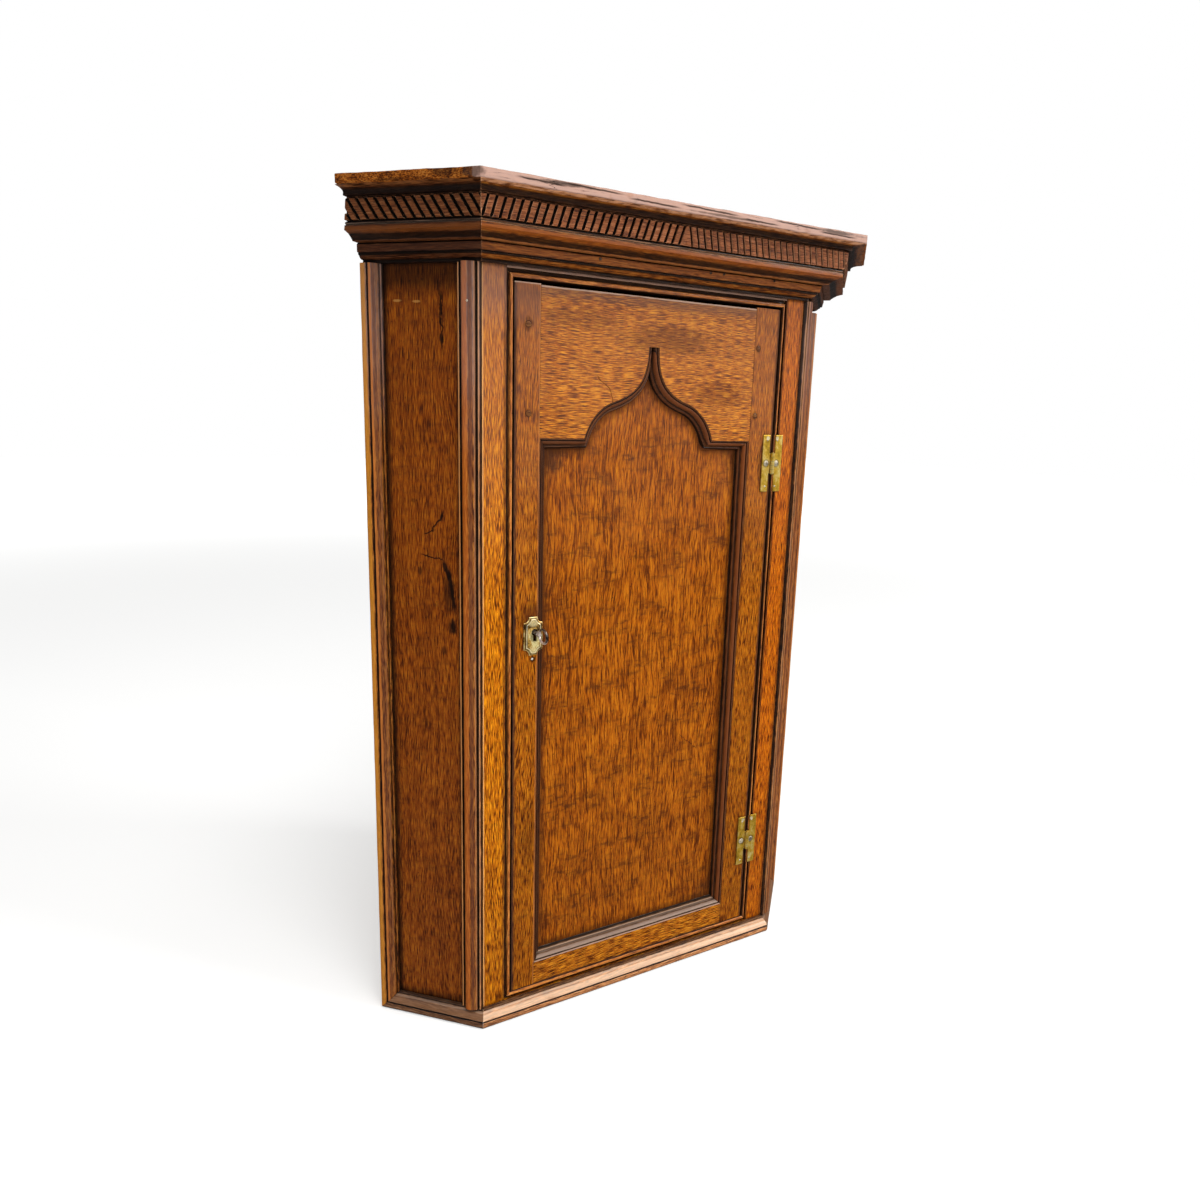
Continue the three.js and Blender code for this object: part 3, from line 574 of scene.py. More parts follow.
FRONT_OAK = OakTone(tone(182, 96, 3))
RIGHT_STILE_OAK = OakTone(tone(172, 80, 1))
LOCK_STILE_OAK = OakTone(tone(150, 75, 3))
HINGE_STILE_OAK = OakTone(tone(150, 75, 3))
RAIL_OAK = OakTone(tone(172, 90, 8), 1.25, tone(84, 46, 26))
PANEL_OAK = OakTone(tone(154, 76, 3), 0.88, tone(74, 36, 8))
# Darker than the front, partly as painted shade on the returns.
RETURN_OAK = OakTone(tone(130, 60, 3), 1.0, tone(52, 23, 6))
BED_OAK = OakTone(tone(122, 62, 12), 1.1, worn=tone(206, 150, 110))
# Darker copy for the returns: painted shade.
BED_SHADED_OAK = OakTone(tone(66, 30, 8), 1.1, worn=tone(120, 72, 36))
FRIEZE_OAK = OakTone(tone(138, 76, 38), 1.0, worn=tone(206, 150, 112))
# Darker copy for the returns: painted shade.
FRIEZE_SHADED_OAK = OakTone(tone(112, 60, 26), 1.0, worn=tone(150, 112, 82))
TOP_OAK = OakTone(tone(134, 70, 18), 1.0, tone(50, 30, 20), worn=tone(190, 140, 96))
# Pale pinkish-grey tone, partly painted reflection of the light overhead on the upward-facing base moulding.
BASE_OAK = OakTone(tone(176, 112, 60), 1.0, worn=tone(232, 196, 160))
# Darker copy for the returns: painted shade.
BASE_SHADED_OAK = OakTone(tone(124, 80, 46), 1.0, worn=tone(180, 142, 108))
UPRIGHT_OAK = OakTone(tone(136, 70, 14), 1.1, worn=tone(210, 150, 98))
BEAD_OAK = OakTone(tone(176, 100, 34), 1.1, worn=tone(226, 162, 104))
PANEL_BEAD_OAK = OakTone(tone(96, 48, 14), 1.1, worn=tone(190, 128, 80))
# Greyer tone of the upward-facing bottom panel moulding, partly painted reflection of the light overhead.
SILL_OAK = OakTone(tone(98, 68, 44), 1.1, worn=tone(196, 160, 130))
DRY_OAK = tone(132, 100, 72)
PEG_OAK = OakTone(tone(92, 50, 16), 1.0, worn=tone(120, 74, 40))
INSIDE_OAK = OakTone(
    tone(136, 94, 52), 0.7, tone(96, 68, 44), tone(70, 46, 28), tone(50, 34, 22), tone(160, 120, 80)
)


class GrainSizes(NamedTuple):
    """Feature sizes of the oak's patterns: across the grain, in depth and along it."""

    drift: Size = (60.0, 90.0, 150.0)
    ripple: Size = (9.0, 9.0, 17.0)
    figure: Size = (5.0, 8.0, 170.0)
    strand: Size = (1.4, 3.0, 34.0)
    fine: Size = (0.8, 1.6, 15.0)
    pores: Size = (0.72, 1.2, 7.0)
    zones: Size = (46.0, 46.0, 19.0)
    dashes: Size = (14.0, 24.0, 4.6)
    patch: Size = (48.0, 48.0, 64.0)
    blotch: Size = (8.0, 8.0, 11.0)
    split: Size = (3.0, 5.0, 95.0)


GRAIN = GrainSizes()
SEED_ACROSS = 37.0
SEED_ALONG = 91.0
DRIFT_REACH = 20.0
RIPPLE_REACH = 0.7
SHEEN_WANDER = 160.0
LOW_SHADE_HEIGHTS = (380.0, 60.0)
MARK_DEPTHS = (17.6, 16.4)
HALO_DEPTHS = (17.5, 16.0)
HALO_REACH = (24.0, 11.0)
HALO_WANDER = 12.0
FLECK_SCALES = (0.2, 0.2, 0.12)
RECESS = 6.0
CREVICE = 1.7
ARRIS = 1.4


class Grain(NamedTuple):
    """Patterns of one oak material from 0 to 1, after the still and the bent coordinates they are read at."""

    still: Term
    fibre: Term
    figure: Term
    strand: Term
    fine: Term
    pores: Term
    zones: Term
    dashes: Term
    patch: Term
    blotch: Term


@dataclass(frozen=True)
class OakFinish(Finish):
    """Old waxed oak: figure, fibres, pores, mottle, flecks, a painted sheen higher up, painted shade in
    recesses, and worn arrises that also carry painted highlights.
    """

    name: str
    tone: OakTone
    plane: Plane
    level: bool
    seed: float
    mottle: float = 0.4
    figure: float = 0.5
    # Strength of the painted sheen, a greyish reflection of the light overhead on the upper parts.
    veil: float = 0.3
    gloss: float = 0.04
    shine: float = 0.05
    # Strength of the painted shade in recesses and creases.
    grime: float = 0.9
    wear: float = 0.5
    # Strength of the painted shade that darkens the lower part of the piece.
    dim: float = 0.0
    edged: bool = False
    halo: float = 0.0
    carved: bool = False
    bands: tuple[Band, ...] = ()
    marks: tuple[Mark, ...] = ()
    crisp: float = 4.0
    splits: float = 0.25
    veil_low: float = 520.0
    veil_high: float = 940.0
    veil_colour: Colour = tone(150, 100, 76)

    def material(self) -> bpy.types.Material:
        """Builds the material.

        Returns:
            The oak.
        """
        material, graph = self.started(self.name)
        parts = graph.split(graph.turned(self.plane))
        if self.edged:
            parts += (graph.stored(EDGE_DISTANCE),)
        grain = self._grain(graph, parts)
        colour = self._ground(graph, parts, grain)
        colour = self._marked(graph, parts, grain, colour)
        # Painted shade on the panel's outer face beside its moulding.
        if self.halo:
            near = (parts[3] + (grain.blotch - 0.5) * HALO_WANDER).rise(*HALO_REACH)
            halo = near * parts[1].rise(*HALO_DEPTHS) * self.halo
            colour = graph.mix(halo * (0.6 + grain.fine * 0.6), colour, self.tone.shade)
        if self.carved:
            # Painted highlight on the edges of the flutes and painted shade in their floors.
            groove = graph.stored(GROOVE)
            edge = groove.rise(0.01, 0.1) * groove.rise(0.34, 0.16) * (0.25 + grain.blotch * 0.6)
            colour = graph.mix(edge, colour, self.tone.worn)
            colour = graph.mix(groove.rise(0.22, 0.75), colour, self.tone.grime)
        # Painted shade: recesses and creases are darkened towards the tone's darkest colour.
        closed = graph.hidden(RECESS, False).rise(0.15, 0.75) * self.grime
        closed = closed.most(graph.hidden(CREVICE, False).rise(0.3, 0.7) * self.grime)
        colour = graph.mix(closed, colour, self.tone.grime)
        # Worn arrises, lightened towards the worn colour; the lightening also serves as painted highlights
        # along the edges.
        rubbed = (grain.blotch + grain.fine * 0.5).rise(0.55, 0.9)
        arris = graph.hidden(ARRIS, True).rise(0.42, 0.7) * self.wear * rubbed
        colour = graph.mix(arris, colour, self.tone.worn)
        relief = (
            grain.fine * 0.09
            - grain.pores.rise(0.58, 0.7) * 0.07
            + grain.dashes * 0.08
            + grain.blotch * 0.08
            + grain.patch * 0.5
        )
        values = {
            "Base Color": colour,
            "Roughness": 0.42 + (grain.blotch - 0.5) * 0.3 + grain.pores.rise(0.5, 0.7) * 0.15 + closed * 0.3,
            "Coat Weight": (1 - closed) * self.gloss * (0.3 + grain.blotch * 1.2),
            "Coat Roughness": 0.2,
            "Specular IOR Level": self.shine,
            "Normal": self.bumped(graph, relief, 0.85),
        }
        self.shown(graph, values)
        return material

    def _grain(self, graph: Graph, parts: Sequence[Term]) -> Grain:
        """Reads the patterns along the piece's grain.

        Args:
            graph: The material's graph.
            parts: The turned coordinates.

        Returns:
            The patterns.
        """
        across, along = (parts[2], parts[0]) if self.level else (parts[0], parts[2])
        across = across + self.seed * SEED_ACROSS
        along = along + self.seed * SEED_ALONG
        still = graph.join(across, parts[1], along)
        drift = graph.noise(still, GRAIN.drift, 1.0) - 0.5
        ripple = graph.noise(still, GRAIN.ripple, 1.0) - 0.5
        fibre = graph.join(across + drift * DRIFT_REACH + ripple * RIPPLE_REACH, parts[1], along)
        return Grain(
            still=still,
            fibre=fibre,
            figure=graph.noise(fibre, GRAIN.figure, 3.0),
            strand=graph.noise(fibre, GRAIN.strand),
            fine=graph.noise(fibre, GRAIN.fine),
            pores=graph.noise(fibre, GRAIN.pores, 1.0),
            zones=graph.noise(still, GRAIN.zones),
            dashes=graph.noise(still, GRAIN.dashes, 3.0),
            patch=graph.noise(still, GRAIN.patch),
            blotch=graph.noise(still, GRAIN.blotch),
        )

    def _ground(self, graph: Graph, parts: Sequence[Term], grain: Grain) -> Term:
        """Colour of the wood itself: fibres, mottle, pores and flecks, under a painted sheen above and
        painted shade below.

        Args:
            graph: The material's graph.
            parts: The turned coordinates.
            grain: The patterns.

        Returns:
            The colour.
        """
        level = (
            0.5
            + (grain.figure - 0.5) * (1.5 * self.figure)
            + (grain.strand - 0.5) * 0.8
            + (grain.fine - 0.5) * self.crisp
            + (grain.patch - 0.5) * 0.35
        )
        colour = graph.term("ShaderNodeValToRGB", {"stops": self.tone.stops}, {0: level})
        broken = 0.3 + grain.dashes.rise(0.46, 0.66) * 0.7
        shade = grain.zones.rise(0.42, 0.66) * broken * (0.35 + grain.pores) * self.mottle
        colour = graph.mix(shade, colour, self.tone.shade)
        colour = graph.mix(grain.pores.rise(0.6, 0.7) * 0.6, colour, self.tone.pore)
        colour = self._flecked(graph, grain, colour)
        # Painted sheen: greyer towards the top, standing in for the reflection of the light overhead.
        sheen_share = (parts[2] + (grain.patch - 0.5) * SHEEN_WANDER).rise(self.veil_low, self.veil_high)
        colour = graph.mix(sheen_share * self.veil * (0.4 + grain.pores * 0.9), colour, self.veil_colour)
        # Painted shade: darker towards the bottom, where less light falls.
        if self.dim:
            colour = graph.mix(parts[2].rise(*LOW_SHADE_HEIGHTS) * self.dim, colour, self.tone.pore)
        return colour

    def _flecked(self, graph: Graph, grain: Grain, ground: Term) -> Term:
        """Sprinkles small dark flecks on a colour, in loose groups.

        Args:
            graph: The material's graph.
            grain: The patterns.
            ground: Colour below.

        Returns:
            The flecked colour.
        """
        scaling = {"operation": "MULTIPLY"}
        cells = graph.term("ShaderNodeVectorMath", scaling, {0: grain.still, 1: FLECK_SCALES})
        near = graph.term("ShaderNodeTexVoronoi", {}, {"Vector": cells, "Scale": 1.0}, "Distance")
        dots = near.rise(0.2, 0.1) * grain.blotch.rise(0.48, 0.6)
        return graph.mix(dots * 0.6, ground, self.tone.grime)

    def _marked(self, graph: Graph, parts: Sequence[Term], grain: Grain, ground: Term) -> Term:
        """Lays the strips, the marks and the fine splits on a colour, the marks on the outer face only.

        Args:
            graph: The material's graph.
            parts: The turned coordinates.
            grain: The patterns.
            ground: Colour below.

        Returns:
            The marked colour.
        """
        colour = ground
        for band in self.bands:
            colour = band.laid(graph, parts, grain.blotch * 0.5 + grain.patch * 0.5, colour)
        plain = colour
        for mark in self.marks:
            colour = mark.laid(graph, parts, grain.blotch, colour)
        if self.marks:
            colour = graph.mix(parts[1].rise(*MARK_DEPTHS), plain, colour)
        seam = abs(graph.noise(grain.fibre, GRAIN.split) - 0.5).rise(0.012, 0.002)
        split = seam * (grain.blotch * grain.patch).rise(0.2, 0.4)
        return graph.mix(split * self.splits, colour, self.tone.grime)


METAL_CLOUD = (9.0, 9.0, 14.0)
METAL_FINE = (1.4, 1.4, 2.2)
METAL_SCRATCH = (0.5, 0.5, 7.0)
METAL_SEED = 53.0
METAL_RECESS = 2.2
METAL_ARRIS = 0.9


@dataclass(frozen=True)
class MetalFinish(Finish):
    """Aged metal: tarnish in patches and recesses, rubbed bright on the arrises."""

    name: str
    bright: Colour
    middle: Colour
    tarnish: Colour
    metallic: float = 0.85
    roughness: float = 0.34
    seed: float = 0.0
    rub: float = 0.8
    contrast: float = 1.0
    edged: bool = False
    marks: tuple[Mark, ...] = ()

    def material(self) -> bpy.types.Material:
        """Builds the material.

        Returns:
            The metal.
        """
        material, graph = self.started(self.name)
        parts = graph.split(graph.turned(Plane.FRONT))
        if self.edged:
            parts += (graph.stored(EDGE_DISTANCE),)
        place = graph.join(parts[0] + self.seed * METAL_SEED, parts[1], parts[2])
        cloud = graph.noise(place, METAL_CLOUD, 3.0)
        fine = graph.noise(place, METAL_FINE, 3.0)
        scratch = graph.noise(place, METAL_SCRATCH)
        level = 0.5 + ((cloud - 0.5) * 1.5 + (fine - 0.5) * 0.6 + (scratch - 0.5) * 0.3) * self.contrast
        stops = [(0.12, self.tarnish), (0.5, self.middle), (0.9, self.bright)]
        colour = graph.term("ShaderNodeValToRGB", {"stops": stops}, {0: level})
        for mark in self.marks:
            colour = mark.laid(graph, parts, cloud, colour)
        closed = graph.hidden(METAL_RECESS, False).rise(0.08, 0.5)
        colour = graph.mix(closed * 0.9, colour, self.tarnish)
        arris = graph.hidden(METAL_ARRIS, True).rise(0.3, 0.6) * self.rub
        colour = graph.mix(arris, colour, self.bright)
        values = {
            "Base Color": colour,
            "Metallic": self.metallic - closed * 0.5,
            "Roughness": self.roughness + (fine - 0.5) * 0.3 + closed * 0.3,
            "Normal": self.bumped(graph, cloud * 0.12 + fine * 0.05 + scratch * 0.02, 0.7),
        }
        self.shown(graph, values)
        return material


# Painted highlights at the ends of the hinge leaves.
HINGE_LIGHTS = tuple(
    Smudge((x, z), (3.4, 3.0), 0.7, tone(255, 246, 206), 1.0)
    for x in (182.0, 198.0)
    for z in (752.0, 194.0)
)
HINGE_SHADES = tuple(
    Smudge((x, z), (6.6, 6.6), 0.9, tone(46, 30, 13), 0.8)
    for x in (181.0, 198.5)
    for z in (718.3, 160.5)
)
BRASS = MetalFinish(
    "aged_brass", tone(255, 238, 160), tone(226, 180, 56), tone(116, 80, 22), metallic=0.7, contrast=0.8,
    marks=HINGE_LIGHTS + HINGE_SHADES,
)
PLATE_BRASS = MetalFinish(
    "plate_brass", tone(255, 240, 172), tone(216, 168, 78), tone(54, 38, 16), metallic=0.5, roughness=0.36,
    seed=3.0, contrast=1.8, edged=True, marks=(
        # Painted shade on the bevel, a painted highlight on the ridge, a dark inner step, painted highlights
        # at the top and the bottom of the face and a darker middle round the keyhole.
        Band(Axis.EDGE, 0.9, 2.5, 0.3, tone(78, 54, 20), 0.9, 0.3),
        Band(Axis.EDGE, 2.9, 3.6, 0.2, tone(255, 246, 206), 0.9, 0.2),
        Band(Axis.EDGE, 4.0, 4.8, 0.2, tone(92, 64, 26), 0.85, 0.3),
        Smudge((-164.6, 528.0), (7.0, 5.0), 0.55, tone(255, 238, 178), 1.0),
        Smudge((-164.6, 494.0), (7.0, 5.0), 0.6, tone(255, 236, 172), 1.0),
        Smudge((-163.5, 511.0), (7.5, 8.5), 0.8, tone(70, 52, 26), 1.0),
    ),
)
STEEL = MetalFinish(
    "worn_steel", tone(224, 210, 200), tone(100, 88, 80), tone(30, 23, 19), metallic=0.55, roughness=0.36,
    seed=3.0, contrast=1.6,
)
SCREW_STEEL = MetalFinish(
    "screw_steel", tone(188, 178, 154), tone(112, 102, 84), tone(36, 27, 17), metallic=0.4, roughness=0.55,
    seed=9.0, contrast=1.8,
)
LOCK_IRON = MetalFinish(
    "lock_iron", tone(128, 118, 106), tone(86, 76, 66), tone(58, 42, 30), metallic=0.75, roughness=0.5,
    seed=6.0,
)
IRON = MetalFinish(
    "nail_iron", tone(120, 100, 84), tone(52, 40, 32), tone(24, 17, 13), metallic=0.6, roughness=0.5, seed=7.0
)
BACK_IRON = MetalFinish(
    "back_nail_iron", tone(70, 54, 44), tone(30, 22, 17), tone(16, 11, 8), metallic=0.3, roughness=0.6,
    seed=7.0,
)
PALE_NAIL = MetalFinish(
    "pale_nail", tone(250, 246, 236), tone(214, 202, 176), tone(120, 98, 66), metallic=0.5, roughness=0.4,
    seed=9.0,
)


@dataclass(frozen=True)
class FloorFinish(Finish):
    """Plain pale floor that glows, greyer near the cupboard as painted shade and brighter far off, where it
    fades into the backdrop.
    """

    name: str = "pale_floor"
    colour: Colour = (0.72, 0.72, 0.715, 1.0)
    bright: Colour = (1.6, 1.6, 1.6, 1.0)
    near: float = 1700.0
    far: float = 7000.0
    cloud: Size = (900.0, 900.0, 900.0)
    darker: float = 0.97

    def material(self) -> bpy.types.Material:
        """Builds the material.

        Returns:
            The floor's material.
        """
        material, graph = self.started(self.name)
        place = graph.turned(Plane.FRONT)
        cloud = graph.noise(place, self.cloud)
        darker = tuple(part * self.darker for part in self.colour[:3]) + (1.0,)
        x, y, _ = graph.split(place)
        far = (x * x + y * y).rise(self.near * self.near, self.far * self.far)
        values = {
            "Base Color": graph.mix(cloud, self.colour, darker),
            "Roughness": 0.7 + cloud * 0.2,
            # The floor glows: its glow grows from near the cupboard to far off.
            "Emission Color": graph.mix(far, self.colour, self.bright),
            "Emission Strength": 0.54,
        }
        self.shown(graph, values)
        return material


@dataclass(frozen=True)
class Slices:
    """Cuts across a piece at even steps, which let it wander and wear along its length."""

    direction: Vector
    step: float


@dataclass(frozen=True)
class Wear:
    """How a piece's edges and faces have worn."""

    slices: tuple[Slices, ...] = ()
    rounding: float = 0.8
    uneven: float = 0.6
    wobble: float = 0.15
    wave: float = 26.0
    seed: float = 0.0
    rings: int = 2
    flat: Vector | None = None


UP = Vector((0.0, 0.0, 1.0))
RIGHTWARD = Vector((1.0, 0.0, 0.0))
BACKWARD = Vector((0.0, 1.0, 0.0))
FORWARD = Vector((0.0, -1.0, 0.0))
LEAST_WEIGHT = 0.12
ROOM_SHARE = 0.4
QUICK_WAVE = 0.23
QUICK_SHARE = 0.4


class Bench:
    """Makes finished pieces out of meshes and puts them on their bodies."""

    @staticmethod
    def linked(name: str, mesh: bpy.types.Mesh) -> bpy.types.Object:
        """Puts a mesh in the scene as an object at the origin.

        Args:
            name: Name of the object.
            mesh: The mesh.

        Returns:
            The object.
        """
        made = bpy.data.objects.new(name, mesh)
        bpy.context.scene.collection.objects.link(made)
        return made

    @staticmethod
    def applied(made: bpy.types.Object) -> bpy.types.Object:
        """Turns an object's modifiers into its mesh.

        Args:
            made: The object.

        Returns:
            The same object without modifiers.
        """
        depsgraph = bpy.context.evaluated_depsgraph_get()
        mesh = bpy.data.meshes.new_from_object(made.evaluated_get(depsgraph))
        old = made.data
        made.modifiers.clear()
        made.data = mesh
        bpy.data.meshes.remove(old)
        return made

    @staticmethod
    def smoothed(mesh: bpy.types.Mesh, angle: float = SHARP_ANGLE) -> None:
        """Shades a mesh smoothly, apart from edges sharper than the angle."""
        mesh.shade_smooth()
        mesh.set_sharp_from_angle(angle=angle)

    @staticmethod
    def coated(made: bpy.types.Object, material: bpy.types.Material) -> None:
        """Gives an object one material."""
        made.data.materials.clear()
        made.data.materials.append(material)

    def sliced(self, mesh: bmesh.types.BMesh, slices: Slices) -> None:
        """Cuts a mesh across at even steps.

        Args:
            mesh: The mesh.
            slices: The direction and the step.
        """
        places = [v.co.dot(slices.direction) for v in mesh.verts]
        low, high = min(places), max(places)
        count = int((high - low) / (slices.step * MM))
        for number in range(1, count):
            at = low + (high - low) * number / count
            parts = mesh.verts[:] + mesh.edges[:] + mesh.faces[:]
            bmesh.ops.bisect_plane(
                mesh, geom=parts, dist=MERGE, plane_co=slices.direction * at, plane_no=slices.direction
            )

    @staticmethod
    def _room(edge: bmesh.types.BMEdge) -> float:
        """Width of the narrowest face beside an edge, at most a metre.

        Args:
            edge: The edge.

        Returns:
            The width in metres.
        """
        run = (edge.verts[1].co - edge.verts[0].co).normalized()
        room = 1.0
        for face in edge.link_faces:
            for vert in edge.verts:
                for other in vert.link_edges:
                    if other is edge or face not in other.link_faces:
                        continue
                    step = other.other_vert(vert).co - vert.co
                    room = min(room, (step - run * step.dot(run)).length)
        return room

    def weighted(self, mesh: bmesh.types.BMesh, wear: Wear) -> None:
        """Marks how far each outward edge is rounded.

        Args:
            mesh: The mesh.
            wear: Rounding and how uneven it is.
        """
        weights = mesh.edges.layers.float.new("bevel_weight_edge")
        offset = Vector((wear.seed * 3.1, wear.seed * 1.7, wear.seed * 2.3))
        for edge in mesh.edges:
            if len(edge.link_faces) != 2 or edge.calc_face_angle_signed(0.0) < SHARP_ANGLE:
                continue
            middle = (edge.verts[0].co + edge.verts[1].co) / 2
            change = noise.noise(middle / (wear.wave * MM) + offset) * wear.uneven
            wanted = min(1.0, max(LEAST_WEIGHT, 0.5 + change))
            edge[weights] = min(wanted, ROOM_SHARE * self._room(edge) / (wear.rounding * MM))

    @staticmethod
    def wandered(mesh: bpy.types.Mesh, wear: Wear) -> None:
        """Moves the points of a mesh a little, in slow waves.

        Args:
            mesh: The mesh.
            wear: Size and length of the waves.
        """
        offset = Vector((wear.seed * 5.3, wear.seed * 2.9, wear.seed * 4.1))
        for vert in mesh.vertices:
            slow = noise.noise_vector(vert.co / (wear.wave * MM) + offset)
            quick = noise.noise_vector(vert.co / (wear.wave * QUICK_WAVE * MM) - offset)
            move = (slow + quick * QUICK_SHARE) * (wear.wobble * MM)
            if wear.flat is not None:
                move -= wear.flat * move.dot(wear.flat)
            vert.co += move

    def copied(self, node: str, wear: Wear, finish: bpy.types.Material, slot: str) -> bpy.types.Object:
        """Makes a worn copy of a CAD node that stands for it.

        Args:
            node: Name of the node.
            wear: How it has worn.
            finish: Its material.
            slot: Material slot of the record.

        Returns:
            The finished piece.
        """
        mesh = bmesh.new()
        mesh.from_mesh(frame["nodes"][node].data)
        bmesh.ops.remove_doubles(mesh, verts=mesh.verts, dist=MERGE)
        bmesh.ops.dissolve_limit(mesh, angle_limit=FLAT_ANGLE, verts=mesh.verts, edges=mesh.edges)
        for slices in wear.slices:
            self.sliced(mesh, slices)
        if wear.rounding > 0:
            self.weighted(mesh, wear)
        data = bpy.data.meshes.new(f"worn_{node}")
        mesh.to_mesh(data)
        mesh.free()
        made = self.linked(f"worn_{node}", data)
        if wear.rounding > 0:
            bevel = made.modifiers.new("rounding", "BEVEL")
            bevel.limit_method = "WEIGHT"
            bevel.width = wear.rounding * MM
            bevel.segments = wear.rings
            bevel.use_clamp_overlap = False
            made = self.applied(made)
        self.wandered(made.data, wear)
        self.smoothed(made.data)
        even = made.modifiers.new("flat_faces", "WEIGHTED_NORMAL")
        even.keep_sharp = True
        made = self.applied(made)
        self.coated(made, finish)
        return self.placed(made, self.body_of(node), slot, node)

    @staticmethod
    def measured(made: bpy.types.Object, edge: Sequence[Vector]) -> None:
        """Stores each point's distance to an edge, seen from the front.

        Args:
            made: The piece.
            edge: Points close together along the edge, across and up in millimetres.
        """
        near = KDTree(len(edge))
        for number, point in enumerate(edge):
            near.insert((point.x, point.y, 0.0), number)
        near.balance()
        distances = [near.find((vert.co.x / MM, vert.co.z / MM, 0.0))[2] for vert in made.data.vertices]
        layer = made.data.attributes.new(EDGE_DISTANCE, "FLOAT", "POINT")
        layer.data.foreach_set("value", distances)

    @staticmethod
    def body_of(node: str) -> str:
        """Body that a CAD node belongs to."""
        return frame["nodes"][node]["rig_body"]

    @staticmethod
    def placed(made: bpy.types.Object, body: str, slot: str, *nodes: str) -> bpy.types.Object:
        """Puts a finished piece on its body.

        Args:
            made: The piece.
            body: The body it moves with.
            slot: Material slot of the record. Not used.
            nodes: CAD nodes that it stands for.

        Returns:
            The same piece.
        """
        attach(made, body)
        if nodes:
            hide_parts(*nodes)
        log.info("%s on %s, %d faces", made.name, body, len(made.data.polygons))
        return made


BENCH = Bench()


class GeometryTree:
    """Base of the geometry trees: a group with named inputs that ends in real mesh and its material."""

    title = "geometry"
    inputs: tuple[tuple[str, str], ...] = ()

    def __init__(self) -> None:
        """Makes the group, its sockets and its nodes."""
        self.group = bpy.data.node_groups.new(self.title, "GeometryNodeTree")
        face = self.group.interface
        face.new_socket("Geometry", in_out="INPUT", socket_type="NodeSocketGeometry")
        for name, kind in self.inputs + (("Material", "NodeSocketMaterial"),):
            face.new_socket(name, in_out="INPUT", socket_type=kind)
        face.new_socket("Geometry", in_out="OUTPUT", socket_type="NodeSocketGeometry")
        self.graph = Graph(self.group)
        self.start = self.graph.node("NodeGroupInput")
        shaped = self.shaped()
        real = self.graph.term("GeometryNodeRealizeInstances", {}, {0: shaped})
        coat = {0: real, "Material": self.given("Material")}
        dressed = self.graph.term("GeometryNodeSetMaterial", {}, coat)
        self.graph.node("NodeGroupOutput", {}, {0: dressed})

    def given(self, name: str) -> Term:
        """One of the group's named inputs."""
        return Term(self.graph, self.start.outputs[name])

    def shaped(self) -> Term:
        """Geometry before it is made real. Each kind of tree gives its own."""
        raise NotImplementedError

    def run(self, made: bpy.types.Object, values: Mapping[str, object]) -> bpy.types.Object:
        """Runs the tree on an object and leaves a plain mesh.

        Args:
            made: The object that carries the tree's points or an empty mesh.
            values: Values of the named inputs.

        Returns:
            The same object with its finished mesh.
        """
        modifier = made.modifiers.new(self.title, "NODES")
        modifier.node_group = self.group
        for item in self.group.interface.items_tree:
            if item.item_type == "SOCKET" and item.in_out == "INPUT" and item.name in values:
                modifier[item.identifier] = values[item.name]
        return BENCH.applied(made)


class HeadTree(GeometryTree):
    """Domed heads of nails and pins at given points."""

    title = "fastener_heads"
    segments = 20
    rings = 10
    inputs = (
        ("Dome", "NodeSocketFloat"),
        ("Turn", "NodeSocketFloat"),
        ("Seed", "NodeSocketInt"),
    )

    def shaped(self) -> Term:
        """A dome on each point, as large and facing as the point says.

        Returns:
            The heads.
        """
        graph = self.graph
        ball_size = {"Segments": self.segments, "Rings": self.rings, "Radius": 1.0}
        ball = graph.term("GeometryNodeMeshUVSphere", {}, ball_size)
        size = graph.join(1.0, 1.0, self.given("Dome"))
        head = graph.term("GeometryNodeTransform", {}, {0: ball, "Scale": size})
        facing = self._read("facing", "FLOAT_VECTOR")
        aligned = graph.term("FunctionNodeAlignRotationToVector", {"axis": "Z"}, {"Vector": facing})
        limits = {2: 0.0, 3: self.given("Turn"), "Seed": self.given("Seed")}
        turn = graph.term("FunctionNodeRandomValue", {"data_type": "FLOAT"}, limits, 1)
        spin = graph.term("FunctionNodeAxisAngleToRotation", {}, {"Axis": (0.0, 0.0, 1.0), "Angle": turn})
        space = {"rotation_space": "LOCAL"}
        rotation = graph.term("FunctionNodeRotateRotation", space, {0: aligned, 1: spin})
        points = graph.term("GeometryNodeMeshToPoints", {}, {0: self.given("Geometry")})
        radius = self._read("head_radius", "FLOAT")
        values = {"Points": points, "Instance": head, "Rotation": rotation, "Scale": radius}
        heads = graph.term("GeometryNodeInstanceOnPoints", {}, values)
        return graph.term("GeometryNodeSetShadeSmooth", {}, {0: heads})

    def _read(self, name: str, kind: str) -> Term:
        """A named attribute of the points."""
        made = self.graph.node("GeometryNodeInputNamedAttribute", {"data_type": kind}, {"Name": name})
        return Term(self.graph, made.outputs[0])


@dataclass(frozen=True)
class Head:
    """One nail, pin or screw head."""

    place: Vector
    facing: Vector
    radius: float


@dataclass
class Fasteners:
    """Small fasteners of one kind on one body, made by the tree of heads."""

    name: str
    body: str
    slot: str
    finish: MetalFinish
    heads: Sequence[Head]
    dome: float = 0.45
    turn: float = 3.0
    seed: int = 4

    def build(self, tree: HeadTree) -> bpy.types.Object:
        """Builds the heads.

        Args:
            tree: The tree that makes heads at points.

        Returns:
            The finished piece.
        """
        mesh = bpy.data.meshes.new(self.name)
        mesh.from_pydata([head.place for head in self.heads], [], [])
        radii = mesh.attributes.new("head_radius", "FLOAT", "POINT")
        radii.data.foreach_set("value", [head.radius * MM for head in self.heads])
        facing = mesh.attributes.new("facing", "FLOAT_VECTOR", "POINT")
        facing.data.foreach_set("vector", [part for head in self.heads for part in head.facing])
        made = BENCH.linked(self.name, mesh)
        values = {
            "Dome": self.dome,
            "Turn": self.turn,
            "Seed": self.seed,
            "Material": self.finish.material(),
        }
        tree.run(made, values)
        return BENCH.placed(made, self.body, self.slot)


